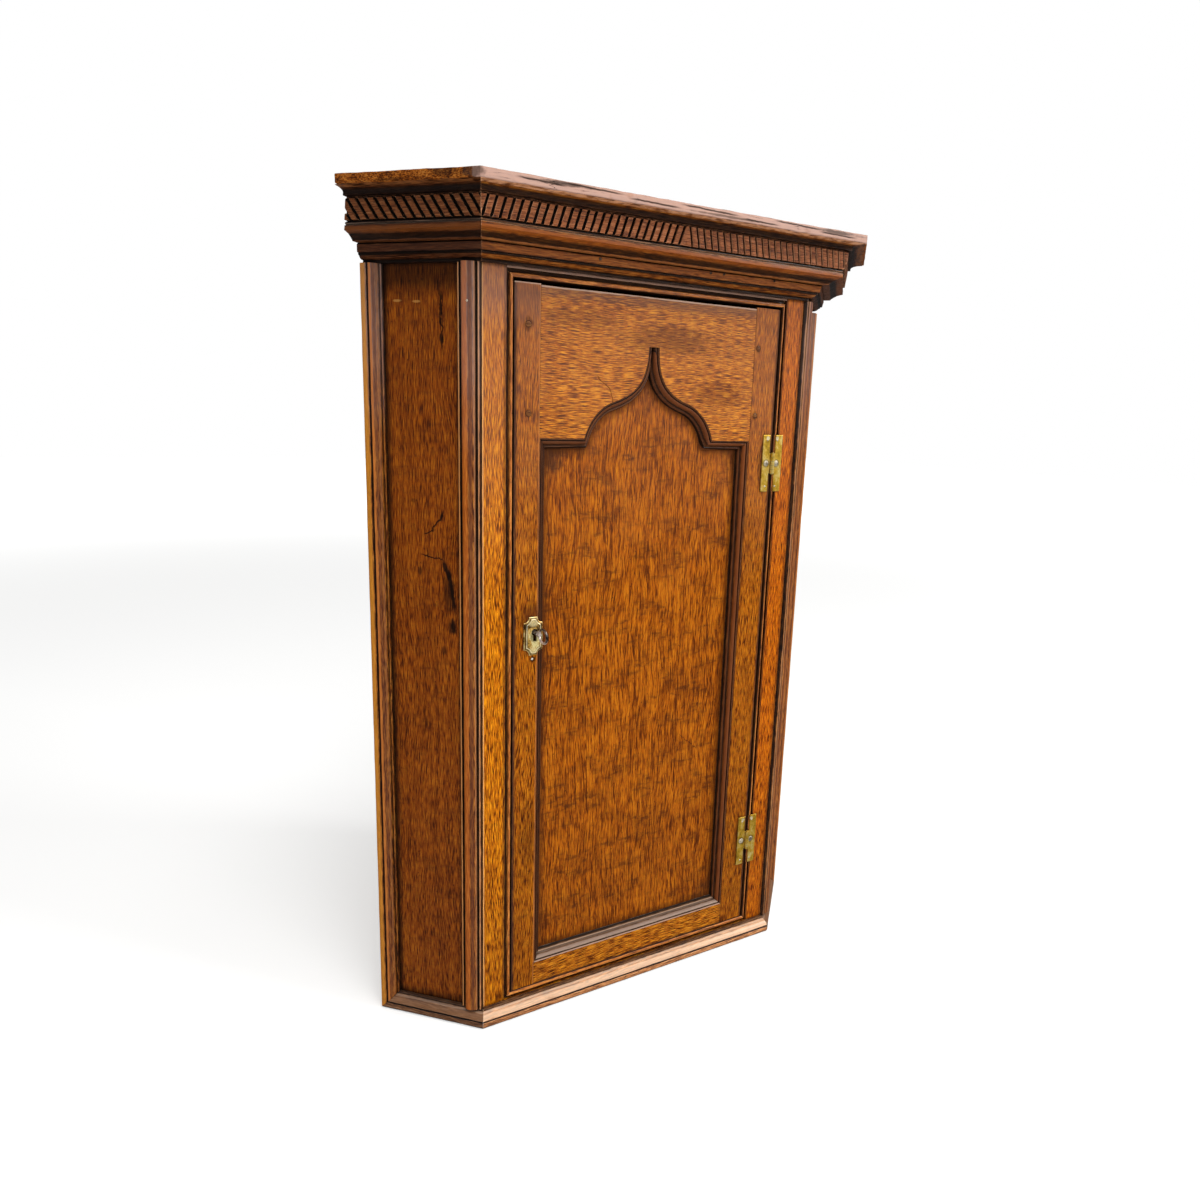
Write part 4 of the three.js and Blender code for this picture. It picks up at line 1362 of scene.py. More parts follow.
class FriezeTree(GeometryTree):
    """A frieze board whose face is carved in slanted flutes, a little unevenly and with soft arrises."""

    title = "fluted_frieze"
    inputs = tuple(
        (name, "NodeSocketFloat")
        for name in (
            "Start", "Start mitre", "Start rise", "End", "End mitre", "End rise", "Fold", "First", "Pitch",
            "Flute", "Slope", "Deep", "Foot", "Tall", "Cap", "Back", "Foot reach", "Head reach", "Seed",
        )
    ) + (("Columns", "NodeSocketInt"), ("Rows", "NodeSocketInt"))
    wander_size: Size = (11.0, 1.0, 14.0)
    rough_size: Size = (2.2, 1.0, 3.6)

    def _run(self, across: Term, height: Term, reach: Term) -> Term:
        """Place along the run, between two ends that lean and are mitred.

        Args:
            across: Share of the way from the start to the end.
            height: Height over the foot.
            reach: How far out of the case's face the point stands.

        Returns:
            The place in millimetres.
        """
        given = self.given
        start = given("Start") + given("Start rise") * height + given("Start mitre") * reach
        end = given("End") + given("End rise") * height + given("End mitre") * reach
        return start + (end - start) * across

    def shaped(self) -> Term:
        """The carved board, made of one fine closed box whose front is moved.

        Returns:
            The board.
        """
        graph = self.graph
        given = self.given
        cells = {"Vertices X": given("Columns"), "Vertices Y": 2, "Vertices Z": given("Rows")}
        box = graph.term("GeometryNodeMeshCube", {}, {"Size": (1.0, 1.0, 1.0)} | cells)
        x, y, z = graph.split(graph.term("GeometryNodeInputPosition", {}, {}))
        across, out, up = x + 0.5, 0.5 - y, z + 0.5
        height = up * given("Tall")
        share = (height / (given("Tall") - given("Cap"))).least(1.0)
        face = given("Foot reach") + (given("Head reach") - given("Foot reach")) * share
        cap = height.rise(given("Tall") - given("Cap"), given("Tall") - given("Cap") * 0.7)
        face = face - cap * (given("Head reach") - given("Foot reach"))
        run = self._run(across, height, face)
        fold = abs(run - given("Fold")) - abs(given("Fold") + 0.0)
        place = graph.join(run, given("Seed"), height)
        wander = graph.noise(place, self.wander_size) - 0.5
        rough = graph.noise(place, self.rough_size) - 0.5
        count = (fold - given("Slope") * height - given("First") + wander * 0.7) / given("Pitch")
        middle = given("Flute") / 2
        off = abs(count.fraction() * given("Pitch") - middle)
        soft = 0.3 + wander * 0.3
        groove = off.rise(middle + soft, middle - soft) * (count.whole().rise(-1.0, 0.0))
        fluted = 1 - cap
        deep = groove * fluted * (given("Deep") + wander * 1.2)
        worn = (off.rise(middle + 1.1, middle) * 0.3 + rough * 0.25 + wander * 0.4) * fluted
        reach = given("Back") + (face - deep - worn - given("Back")) * out
        run = self._run(across, height, reach)
        moved_to = graph.join(run * MM, reach * -MM, (given("Foot") + height) * MM)
        values = {0: box, "Name": GROOVE, "Value": groove * fluted * out}
        kind = {"data_type": "FLOAT", "domain": "POINT"}
        marked = graph.term("GeometryNodeStoreNamedAttribute", kind, values)
        moved = graph.term("GeometryNodeSetPosition", {}, {0: marked, "Position": moved_to})
        return graph.term("GeometryNodeSetShadeSmooth", {}, {0: moved})


@dataclass
class Cornice:
    """Worn top board, crown, fluted frieze and bed moulding, in three mitred lengths each."""

    foot: float = 932.5
    crown_foot: float = 990.5
    head: float = 997.4
    flute_foot: float = 968.2
    flute_tall: float = 22.3
    flute_cap: float = 2.1
    flute_deep: float = 3.6
    frieze_back: float = 38.0
    foot_reach: float = 50.0
    head_reach: float = 52.5
    rear_foot: float = 139.4
    rear_head: float = 128.8
    front_pitch: float = 9.6
    front_flute: float = 3.0
    front_slope: float = 0.287
    middle_half: float = 7.9
    return_pitch: float = 10.7
    return_flute: float = 3.5
    return_slope: float = 0.6
    mitre: float = math.tan(math.pi / 8)
    seam: float = 0.05
    column: float = 0.4
    rows: int = 20
    fold_away: float = 100.0
    smooth_angle: float = math.radians(50)
    nail_radius: float = 1.7
    fascia_reach: float = 22.0
    fascia_nails: tuple[Pair, ...] = (
        (58.0, 948.0),
        (78.0, 948.6),
        (-96.0, 947.2),
        (158.0, 948.4),
    )
    edge_cracks: tuple[tuple[float, float, float, float], ...] = (
        (-226.0, 1003.5, -160.0, 1001.6),
        (-176.0, 1005.2, -92.0, 1003.6),
        (-96.0, 1001.2, -20.0, 1000.2),
        (-30.0, 1004.6, 64.0, 1002.8),
        (58.0, 1001.0, 120.0, 1000.0),
        (104.0, 1005.0, 190.0, 1003.2),
        (176.0, 1001.4, 246.0, 1000.6),
    )

    @property
    def rear_lean(self) -> float:
        """How far the wall end moves for each millimetre of height."""
        return (self.rear_head - self.rear_foot) / (self.head - self.foot)

    def _oak(self, name: str, plane: Plane, seed: float, bands: tuple[Band, ...] = ()) -> bpy.types.Material:
        """The cornice's oak.

        Args:
            name: Name of the material.
            plane: Plane that the moulding lies in.
            seed: Its stretch of the pattern.
            bands: Strips of another colour.

        Returns:
            The material.
        """
        carved = "frieze" in name
        # The returns take darker copies of the tones, as painted shade.
        front = FRIEZE_OAK if carved else BED_OAK
        side = FRIEZE_SHADED_OAK if carved else BED_SHADED_OAK
        finish = OakFinish(
            name, front if plane is Plane.FRONT else side, plane, True, seed, mottle=0.2, figure=0.4,
            veil=0.0, gloss=0.2, shine=0.2, wear=1.0, carved=carved, bands=bands,
            crisp=1.6 if carved else 2.4,
        )
        return finish.material()

    @staticmethod
    def _bed_bands(plane: Plane) -> tuple[Band, ...]:
        """Paints light and shade up the bed moulding: dark quirks and a dark cyma as painted shade, a light
        fascia and fillet, a lit cove and a pale head as painted highlights, all dimmer on a return as painted
        shade.

        Args:
            plane: Plane that the moulding lies in.

        Returns:
            The bands.
        """
        dark = tone(14, 8, 5)
        front = (tone(150, 80, 26), tone(176, 112, 62), tone(150, 76, 18), tone(226, 176, 136))
        shaded_side = (tone(86, 42, 12), tone(104, 58, 26), tone(124, 66, 20), tone(150, 128, 110))
        fascia, fillet, cove, head = front if plane is Plane.FRONT else shaded_side
        return (
            Band(Axis.HEIGHT, 930.0, 935.8, 0.4, dark, 0.9, 0.3),
            Band(Axis.HEIGHT, 939.2, 941.9, 0.4, dark, 0.95, 0.3),
            Band(Axis.HEIGHT, 942.4, 949.0, 1.2, fascia, 0.35, 1.5),
            Band(Axis.HEIGHT, 949.9, 951.5, 0.4, fillet, 0.45, 1.4),
            Band(Axis.HEIGHT, 951.8, 956.4, 0.9, dark, 0.85, 0.6),
            Band(Axis.HEIGHT, 957.2, 961.8, 1.2, cove, 0.55, 2.0),
            Band(Axis.HEIGHT, 963.5, 965.3, 0.4, head, 0.65, 0.7),
            Band(Axis.HEIGHT, 965.6, 968.6, 0.3, dark, 0.9, 0.3),
        )

    def build(self, friezes: FriezeTree, heads: HeadTree) -> None:
        """Builds the whole cornice.

        Args:
            friezes: The tree that carves friezes.
            heads: The tree that makes nail heads.
        """
        planes = {"front": Plane.FRONT, "left": Plane.LEFT, "right": Plane.RIGHT}
        runs = {"front": RIGHTWARD, "left": Side.LEFT.along, "right": Side.RIGHT.along}
        for number, (word, plane) in enumerate(planes.items()):
            wear = Wear(
                (Slices(runs[word], 7.0),), rounding=0.9, uneven=0.8,
                wobble=0.28, wave=21.0, seed=3.0 + number,
            )
            bed = self._oak(f"bed_{word}_oak", plane, 11.0 + number, self._bed_bands(plane))
            BENCH.copied(f"bed_moulding_{word}", wear, bed, "oak_moulding")
            shadow = Band(
                Axis.HEIGHT, self.crown_foot - 0.5, self.crown_foot + 5.1, 0.6, tone(20, 11, 7), 0.85, 0.4
            )
            crown = self._oak(f"crown_{word}_oak", plane, 15.0 + number, (shadow,))
            BENCH.copied(f"crown_moulding_{word}", wear, crown, "oak_moulding")
            self._frieze(friezes, word, plane, 19.0 + number)
        self._top_board()
        self._nails(heads)

    def _frieze(self, friezes: FriezeTree, word: str, plane: Plane, seed: float) -> None:
        """Carves one length of frieze and puts it in its place.

        Args:
            friezes: The tree.
            word: Which length.
            plane: Its plane.
            seed: Its stretch of the patterns.
        """
        rear = self.rear_foot + self.rear_lean * (self.flute_foot - self.foot)
        first = -self.head_reach * self.mitre - self.return_slope * self.flute_tall
        start, end, fold = -FRONT_HALF, FRONT_HALF, 0.0
        lean, mitres = (0.0, 0.0), (-self.mitre, self.mitre)
        if word == "right":
            start, end, fold = self.seam, rear, -self.fold_away
            lean, mitres = (0.0, self.rear_lean), (-self.mitre, 0.0)
        if word == "left":
            start, end, fold = -rear, -self.seam, self.fold_away
            lean, mitres = (-self.rear_lean, 0.0), (0.0, self.mitre)
        front = word == "front"
        values = {
            "Start": start,
            "Start mitre": mitres[0],
            "Start rise": lean[0],
            "End": end,
            "End mitre": mitres[1],
            "End rise": lean[1],
            "Fold": fold,
            "First": self.middle_half if front else first,
            "Pitch": self.front_pitch if front else self.return_pitch,
            "Flute": self.front_flute if front else self.return_flute,
            "Slope": -self.front_slope if front else self.return_slope,
            "Deep": self.flute_deep,
            "Foot": self.flute_foot,
            "Tall": self.flute_tall,
            "Cap": self.flute_cap,
            "Back": self.frieze_back,
            "Foot reach": self.foot_reach,
            "Head reach": self.head_reach,
            "Columns": int((end - start + 40.0) / self.column),
            "Rows": self.rows,
            "Seed": seed * 17.0,
            "Material": self._oak(f"frieze_{word}_oak", plane, seed),
        }
        made = BENCH.linked(f"carved_frieze_{word}", bpy.data.meshes.new(f"carved_frieze_{word}"))
        friezes.run(made, values)
        made.data.transform(self._standing(word))
        BENCH.smoothed(made.data, self.smooth_angle)
        BENCH.placed(made, "case", "oak_moulding", f"frieze_{word}")

    @staticmethod
    def _standing(word: str) -> Matrix:
        """The move from a frieze's own run, reach and height to the cupboard's frame.

        Args:
            word: Which length.

        Returns:
            The move.
        """
        if word == "front":
            return Matrix.Translation(spot(0.0, 0.0, 0.0))
        side = Side.RIGHT if word == "right" else Side.LEFT
        corner = spot(side.value * FRONT_HALF, 0.0, 0.0)
        return Matrix.Translation(corner) @ Matrix.Rotation(math.radians(45 * side.value), 4, "Z")

    def _top_board(self) -> None:
        """The weathered board over the cornice, with a chipped edge."""
        slices = (
            Slices(RIGHTWARD, 6.0),
            Slices(Side.LEFT.along, 14.0),
            Slices(Side.RIGHT.along, 14.0),
            Slices(UP, 3.2),
        )
        wear = Wear(slices, rounding=2.2, uneven=1.3, wobble=0.5, wave=17.0, seed=2.0)
        bands = (
            Band(Axis.DEPTH, -90.0, -68.0, 1.0, tone(186, 152, 138), 0.85, 2.0),
            Band(Axis.HEIGHT, 1006.6, 1012.0, 0.2, DRY_OAK, 0.55, 0.0),
        )
        marks = (
            Smudge((-286.0, 1004.0), (14.0, 5.0), 0.6, tone(34, 20, 12), 3.0),
            Smudge((-266.0, 1003.0), (12.0, 6.0), 0.7, tone(50, 36, 30), 3.0),
            Smudge((-330.0, 999.0), (14.0, 2.0), 0.5, tone(30, 16, 6), 2.0),
            Smudge((-170.0, 1004.0), (40.0, 2.4), 0.8, tone(60, 48, 42), 2.0),
            Smudge((40.0, 1000.0), (60.0, 1.6), 0.7, tone(70, 54, 46), 2.0),
            Smudge((210.0, 1004.0), (50.0, 2.6), 0.8, tone(60, 48, 42), 2.0),
        )
        cracks = tuple(
            Crack((start, low), (end, high), 1.3, 1.6, tone(40, 27, 21))
            for start, low, end, high in self.edge_cracks
        )
        finish = OakFinish(
            "top_board_oak", TOP_OAK, Plane.FRONT, True, 8.0, mottle=0.5, figure=0.8, veil=0.0, gloss=0.03,
            wear=0.5, bands=bands, marks=marks + cracks, crisp=2.6, splits=1.4,
        )
        BENCH.copied("top_board", wear, finish.material(), "oak_moulding")

    def _nails(self, heads: HeadTree) -> None:
        """Nail heads in the fascia of the bed moulding.

        Args:
            heads: The tree that makes nail heads.
        """
        places = [
            Head(spot(x, -self.fascia_reach, z), FORWARD, self.nail_radius) for x, z in self.fascia_nails
        ]
        Fasteners("cornice_nail_heads", "case", "steel", IRON, places, dome=0.35).build(heads)


@dataclass
class Base:
    """Base moulding and the uprights at the wall and at the front arrises."""

    tall: float = 23.0
    nail_s: float = 12.6
    nail_out: float = 10.6
    nail_z: float = 892.0
    nail_radius: float = 1.3

    def build(self, heads: HeadTree) -> None:
        """Builds the mouldings and the nail in the left upright.

        Args:
            heads: The tree that makes nail heads.
        """
        self._foot("front", Plane.FRONT, RIGHTWARD, 31.0)
        for number, side in enumerate(Side):
            plane = Plane.LEFT if side is Side.LEFT else Plane.RIGHT
            self._foot(side.word, plane, side.along, 32.0 + number)
            self._upright("corner_upright", side, plane, 35.0 + number)
            self._upright("rear_upright", side, plane, 38.0 + number)
        place = return_spot(Side.LEFT.value, self.nail_s, self.nail_out, self.nail_z)
        nail = [Head(place, Side.LEFT.outward, self.nail_radius)]
        Fasteners("upright_nail_head", "case", "steel", PALE_NAIL, nail, dome=0.5).build(heads)

    def _foot(self, word: str, plane: Plane, run: Vector, seed: float) -> None:
        """One length of the base moulding.

        Args:
            word: Which length.
            plane: Its plane.
            run: Direction it runs in.
            seed: Its stretch of the patterns.
        """
        # Painted light and shade on the base moulding: painted shade in its quirks, at its foot and at its
        # head, painted highlights on the ovolo and its upper edge, all dimmer on a return.
        dark = tone(24, 14, 9)
        front = plane is Plane.FRONT
        pale = tone(240, 204, 170) if front else tone(126, 88, 60)
        edge = tone(236, 206, 178) if front else tone(160, 132, 110)
        bands = (
            Band(Axis.HEIGHT, -1.0, 1.0, 0.6, dark, 0.7, 0.5),
            Band(Axis.HEIGHT, 8.0, 10.1, 0.3, dark, 0.95, 0.2),
            Band(Axis.HEIGHT, 10.8, 17.6, 1.0, pale, 0.6, 1.0),
            Band(Axis.HEIGHT, 18.2, 19.6, 0.5, edge, 0.5, 0.8),
            Band(Axis.HEIGHT, self.tall - 3.0, self.tall + 0.5, 0.4, dark, 0.75, 0.4),
        )
        tone_here = BASE_OAK if front else BASE_SHADED_OAK
        finish = OakFinish(
            f"base_{word}_oak", tone_here, plane, True, seed, mottle=0.2, veil=0.0, gloss=0.3, shine=0.3,
            wear=0.7, bands=bands, crisp=1.8,
        )
        wear = Wear((Slices(run, 8.0),), rounding=0.9, uneven=0.8, wobble=0.25, wave=24.0, seed=seed)
        BENCH.copied(f"base_moulding_{word}", wear, finish.material(), "oak_moulding")

    @staticmethod
    def _corner_bands() -> tuple[Band, ...]:
        """Painted light and shade across the front corner upright, from the arris back: painted shade in its
        grooves, painted highlights on its fillets and ovolo.

        Returns:
            The bands.
        """
        dark = tone(15, 9, 6)
        return (
            Band(Axis.ALONG, -2.0, 0.7, 0.3, dark, 0.9, 0.2),
            Band(Axis.ALONG, 1.0, 2.4, 0.3, tone(196, 142, 100), 0.6, 0.3),
            Band(Axis.ALONG, 2.6, 5.3, 0.3, dark, 0.92, 0.2),
            Band(Axis.ALONG, 5.2, 6.4, 0.3, tone(170, 116, 76), 0.5, 0.3),
            Band(Axis.ALONG, 7.6, 12.0, 0.8, tone(96, 50, 30), 0.65, 0.9),
            Band(Axis.ALONG, 13.0, 20.2, 1.0, tone(206, 104, 20), 0.4, 1.2),
            Band(Axis.ALONG, 20.6, 24.3, 0.5, dark, 0.95, 0.3),
            Band(Axis.ALONG, 24.8, 26.2, 0.3, tone(206, 140, 78), 0.8, 0.3),
            Band(Axis.ALONG, 26.4, 28.0, 0.3, dark, 0.9, 0.2),
        )

    @staticmethod
    def _rear_bands() -> tuple[Band, ...]:
        """Painted light and shade across the upright at the wall, from the board back: painted shade in its
        grooves, painted highlights on its fillets and ovolo.

        Returns:
            The bands.
        """
        dark = tone(15, 9, 6)
        return (
            Band(Axis.ALONG, 116.0, 117.9, 0.3, dark, 0.9, 0.2),
            Band(Axis.ALONG, 120.2, 121.4, 0.4, dark, 0.6, 0.3),
            Band(Axis.ALONG, 121.8, 123.2, 0.3, tone(150, 96, 56), 0.5, 0.3),
            Band(Axis.ALONG, 123.6, 126.6, 0.8, tone(100, 54, 32), 0.6, 0.8),
            Band(Axis.ALONG, 127.2, 129.7, 0.5, tone(190, 110, 44), 0.65, 0.5),
            Band(Axis.ALONG, 130.1, 132.4, 0.3, dark, 0.92, 0.2),
            Band(Axis.ALONG, 133.5, 142.0, 1.0, tone(206, 134, 34), 0.6, 0.6),
        )

    def _upright(self, kind: str, side: Side, plane: Plane, seed: float) -> None:
        """One upright moulding of a return.

        Args:
            kind: Name of the nodes without their side.
            side: The return.
            plane: Its plane.
            seed: Its stretch of the patterns.
        """
        bands = self._corner_bands() if kind == "corner_upright" else self._rear_bands()
        finish = OakFinish(
            # Greyish painted sheen towards the top of the upright.
            f"{kind}_{side.word}_oak", UPRIGHT_OAK, plane, False, seed, mottle=0.25, veil=0.6, gloss=0.15,
            shine=0.15, wear=0.8, bands=bands, crisp=3.6, veil_low=700.0, veil_high=900.0,
            veil_colour=tone(146, 126, 120),
        )
        wear = Wear((Slices(UP, 12.0),), rounding=0.8, uneven=0.8, wobble=0.25, wave=30.0, seed=seed)
        BENCH.copied(f"{kind}_{side.word}", wear, finish.material(), "oak_moulding")


@dataclass
class Carcase:
    """Returns, back boards, bottom and shelves."""

    return_deep: float = 140.5
    upright_rear: float = 117.0
    upright_front: float = 27.0
    back_middle: Pair = (166.7, 262.0)
    back_joints: Pair = (-175.0, -5.0)
    nail_steps: tuple[float, ...] = (-218.0, -92.0, -66.0, 74.0, 106.0, 216.0)
    nail_heights: tuple[float, ...] = (10.0, 315.0, 615.0)
    nail_radius: float = 3.2

    def build(self, heads: HeadTree) -> None:
        """Builds the boards.

        Args:
            heads: The tree that makes nail heads.
        """
        for number, side in enumerate(Side):
            self._return_board(side, 41.0 + number)
            back = OakFinish(
                f"back_{side.word}_oak", INSIDE_OAK, Plane.LEFT if side is Side.RIGHT else Plane.RIGHT,
                False, 44.0 + number, mottle=0.1, figure=0.7, veil=0.0, gloss=0.05, splits=1.0,
                bands=self._planks(),
            )
            wear = Wear(
                (Slices(UP, 40.0),), rounding=0.8, uneven=0.5, wobble=0.2, wave=60.0, seed=44.0 + number
            )
            BENCH.copied(f"{side.word}_back_board", wear, back.material(), "oak_inside")
        self._back_nails(heads)
        for number, node in enumerate(("bottom_board", "lower_shelf", "upper_shelf")):
            finish = OakFinish(
                f"{node}_oak", INSIDE_OAK, Plane.FRONT, True, 47.0 + number, mottle=0.1, figure=0.7, veil=0.0,
                gloss=0.05,
            )
            wear = Wear(
                (Slices(RIGHTWARD, 30.0),), rounding=1.0, uneven=0.6,
                wobble=0.2, wave=50.0, seed=47.0 + number,
            )
            BENCH.copied(node, wear, finish.material(), "oak_inside")

    def _planks(self) -> tuple[Band, ...]:
        """Joints between the planks of a back, and the middle plank's paler colour.

        Returns:
            The bands.
        """
        low, high = self.back_joints
        gap = tone(26, 18, 12)
        joints = tuple(Band(Axis.ALONG, at - 1.2, at + 0.4, 0.3, gap, 0.9, 0.6) for at in (low, high))
        return (Band(Axis.ALONG, low, high, 1.0, tone(150, 108, 70), 0.16, 0.0),) + joints

    def _back_nails(self, heads: HeadTree) -> None:
        """Nails through the backs into the boards and shelves.

        Args:
            heads: The tree that makes nail heads.
        """
        for side in Side:
            facing = Vector((side.value * HALF_ROOT, HALF_ROOT, 0.0))
            places = []
            for step in self.nail_steps:
                across = side.value * (self.back_middle[0] - step * HALF_ROOT)
                back = self.back_middle[1] + step * HALF_ROOT
                for height in self.nail_heights:
                    places.append(Head(spot(across, back, height), facing, self.nail_radius))
            name = f"back_nail_heads_{side.word}"
            Fasteners(name, "case", "steel", BACK_IRON, places, dome=0.3).build(heads)

    def _return_board(self, side: Side, seed: float) -> None:
        """The board between a return's two uprights.

        Args:
            side: The return.
            seed: Its stretch of the patterns.
        """
        plane = Plane.LEFT if side is Side.LEFT else Plane.RIGHT
        # Painted shade beside the two uprights, under the cornice and above the base.
        dark = tone(26, 13, 7)
        bands = (
            Band(Axis.ALONG, 20.0, self.upright_front + 2.5, 4.0, dark, 0.75, 3.0),
            Band(Axis.ALONG, self.upright_rear - 4.0, self.return_deep + 4.5, 4.0, dark, 0.75, 3.0),
            Band(Axis.HEIGHT, 905.0, 990.0, 12.0, dark, 0.75, 8.0),
            Band(Axis.HEIGHT, 0.0, 30.0, 6.0, dark, 0.6, 4.0),
        )
        bare = tone(196, 140, 70)
        marks = (
            Crack((49.0, 606.0), (40.0, 580.0), 3.8, 7.0),
            Crack((42.0, 596.0), (34.0, 538.0), 4.2, 7.0),
            Crack((80.0, 610.0), (45.0, 605.0), 1.5, 9.0),
            Crack((74.0, 634.0), (58.0, 640.0), 1.3, 8.0),
            Crack((64.0, 636.0), (46.0, 664.0), 2.0, 9.0),
            Crack((50.0, 912.0), (47.0, 832.0), 2.0, 10.0),
            Smudge((38.0, 526.0), (6.0, 12.0), 0.95),
            Smudge((42.0, 566.0), (9.0, 30.0), 0.6),
            Smudge((79.0, 591.0), (3.4, 7.0), 0.6),
            Smudge((49.0, 496.0), (5.0, 7.0), 0.5),
            Smudge((85.0, 673.0), (5.0, 3.0), 0.45),
            Smudge((101.0, 894.0), (6.0, 1.8), 0.55, bare),
            Smudge((78.0, 893.0), (6.0, 1.6), 0.55, bare),
        )
        finish = OakFinish(
            f"{side.word}_return_oak", RETURN_OAK, plane, False, seed, mottle=0.45, figure=0.6, veil=0.05,
            gloss=0.05, shine=0.06, dim=0.1, crisp=2.6, bands=bands, marks=marks if side is Side.LEFT else (),
            splits=0.5,
        )
        wear = Wear(
            (Slices(UP, 24.0),), rounding=0.7, uneven=0.5, wobble=0.2, wave=60.0, seed=seed, flat=side.outward
        )
        BENCH.copied(f"{side.word}_return_board", wear, finish.material(), "oak_case")


@dataclass
class FaceFrame:
    """Stiles and rails round the opening, and the bead planted inside them."""

    opening_half: float = 200.5
    opening_top: float = 930.5
    foot: float = 23.0

    def build(self) -> None:
        """Builds the frame and its bead."""
        # Painted shade in the grooves beside the bead and at the outer arris.
        grime = tone(40, 24, 16)
        self._stile("frame_left_stile", FRONT_OAK, 51.0, (
            Band(Axis.ALONG, -self.opening_half - 3.5, -self.opening_half + 0.5, 0.8, grime, 0.5, 0.6),
            # Worn left arris, lightened also as a painted highlight.
            Band(Axis.ALONG, -229.6, -228.3, 0.4, tone(236, 176, 112), 0.6, 0.5),
            # Painted sheen: greyer at the top of the stile.
            Band(Axis.HEIGHT, 880.0, 940.0, 26.0, tone(128, 98, 88), 0.45, 10.0),
        ))
        self._stile("frame_right_stile", RIGHT_STILE_OAK, 52.0, (
            Band(Axis.ALONG, self.opening_half - 0.5, self.opening_half + 2.5, 0.8, grime, 0.7, 0.6),
            Band(Axis.ALONG, FRONT_HALF - 4.0, FRONT_HALF + 2.0, 1.0, grime, 0.4, 0.6),
        ))
        # Painted highlight along the bottom of the top rail.
        pale = (Band(Axis.HEIGHT, 930.0, 934.0, 0.3, tone(176, 144, 128), 0.8, 0.3),)
        for number, (node, bands) in enumerate((("frame_bottom_rail", ()), ("frame_top_rail", pale))):
            finish = OakFinish(f"{node}_oak", FRONT_OAK, Plane.FRONT, True, 53.0 + number, bands=bands)
            wear = Wear(
                (Slices(RIGHTWARD, 12.0),), rounding=0.8, uneven=0.8,
                wobble=0.15, wave=30.0, seed=53.0 + number, flat=BACKWARD,
            )
            BENCH.copied(node, wear, finish.material(), "oak_case")
        for number, word in enumerate(("left", "right", "top", "bottom")):
            level = word in ("top", "bottom")
            finish = OakFinish(
                f"cockbead_{word}_oak", BEAD_OAK, Plane.FRONT, level, 55.0 + number, mottle=0.2, figure=0.4,
                veil=0.2, gloss=0.2, shine=0.2, grime=0.55, wear=0.8, bands=self._bead_bands(word), crisp=1.6,
            )
            wear = Wear(
                (Slices(RIGHTWARD if level else UP, 12.0),), rounding=0.5, uneven=0.8,
                wobble=0.2, wave=26.0, seed=55.0 + number,
            )
            BENCH.copied(f"cockbead_{word}", wear, finish.material(), "oak_moulding")

    def _bead_bands(self, word: str) -> tuple[Band, ...]:
        """Painted shade in the quirk beside the bead and on its inner flank.

        Args:
            word: Which length.

        Returns:
            The bands.
        """
        dark = tone(14, 8, 5)
        if word == "left":
            axis, edge, spans = Axis.ALONG, -self.opening_half, ((-1.5, 3.5), (6.9, 10.5))
        elif word == "right":
            axis, edge, spans = Axis.ALONG, self.opening_half, ((-3.9, 1.5), (-10.5, -6.1))
        elif word == "top":
            axis, edge, spans = Axis.HEIGHT, self.opening_top, ((-4.1, 1.5), (-11.5, -8.9))
        else:
            axis, edge, spans = Axis.HEIGHT, self.foot, ((-1.0, 4.0), (8.6, 11.0))
        return tuple(Band(axis, edge + low, edge + high, 0.3, dark, 0.9, 0.2) for low, high in spans)

    def _stile(self, node: str, oak: OakTone, seed: float, bands: tuple[Band, ...]) -> None:
        """One stile.

        Args:
            node: Its node.
            oak: Its colours.
            seed: Its stretch of the patterns.
            bands: Strips of another colour.
        """
        # The left stile carries the stronger painted sheen.
        veil = 0.35 if "right" in node else 0.6
        finish = OakFinish(
            f"{node}_oak", oak, Plane.FRONT, False, seed, mottle=0.15, veil=veil, dim=0.22, wear=0.7,
            bands=bands,
        )
        wear = Wear(
            (Slices(UP, 9.0),), rounding=1.4, uneven=1.0, wobble=0.25, wave=22.0, seed=seed, flat=BACKWARD
        )
        BENCH.copied(node, wear, finish.material(), "oak_case")


@dataclass
class ArchLine:
    """The ogee arch of the door's opening, on one side of its middle."""

    centre: float = -5.0
    shoulder: float = 747.5
    half: float = 94.9
    rise: float = 111.0
    slot_half: float = 7.75
    turn_out: float = 54.4
    turn_up: float = 44.6
    turn_slope: float = 0.31
    foot_lean: float = 0.26
    foot_handle: float = 21.5
    turn_handle: float = 20.6
    sweep_handle: float = 36.6
    slot_handle: float = 37.2
    steps: int = 24

    def points(self, side: int) -> list[Pair]:
        """Points from the shoulder to the slot's head.

        Args:
            side: -1 for the left half and 1 for the right one.

        Returns:
            Places across and up, in millimetres.
        """
        turn_length = math.hypot(1.0, self.turn_slope)
        lean = (1 / turn_length, self.turn_slope / turn_length)
        foot_in = self.foot_handle * math.sin(self.foot_lean)
        foot_up = self.foot_handle * math.cos(self.foot_lean)
        lower = (
            (self.half, 0.0),
            (self.half - foot_in, foot_up),
            (self.turn_out + self.turn_handle * lean[0], self.turn_up - self.turn_handle * lean[1]),
            (self.turn_out, self.turn_up),
        )
        upper = (
            (self.turn_out, self.turn_up),
            (self.turn_out - self.sweep_handle * lean[0], self.turn_up + self.sweep_handle * lean[1]),
            (self.slot_half, self.rise - self.slot_handle),
            (self.slot_half, self.rise),
        )
        run = [self._at(lower, n / self.steps) for n in range(self.steps)]
        run += [self._at(upper, n / self.steps) for n in range(self.steps + 1)]
        return [(self.centre + side * out, self.shoulder + up) for out, up in run]

    @staticmethod
    def _at(curve: Sequence[Pair], t: float) -> Pair:
        """Point of a cubic curve.

        Args:
            curve: Its four control points.
            t: Share of the way along it.

        Returns:
            The point.
        """
        shares = ((1 - t) ** 3, 3 * t * (1 - t) ** 2, 3 * t * t * (1 - t), t**3)
        return tuple(sum(s * p[n] for s, p in zip(shares, curve)) for n in range(2))


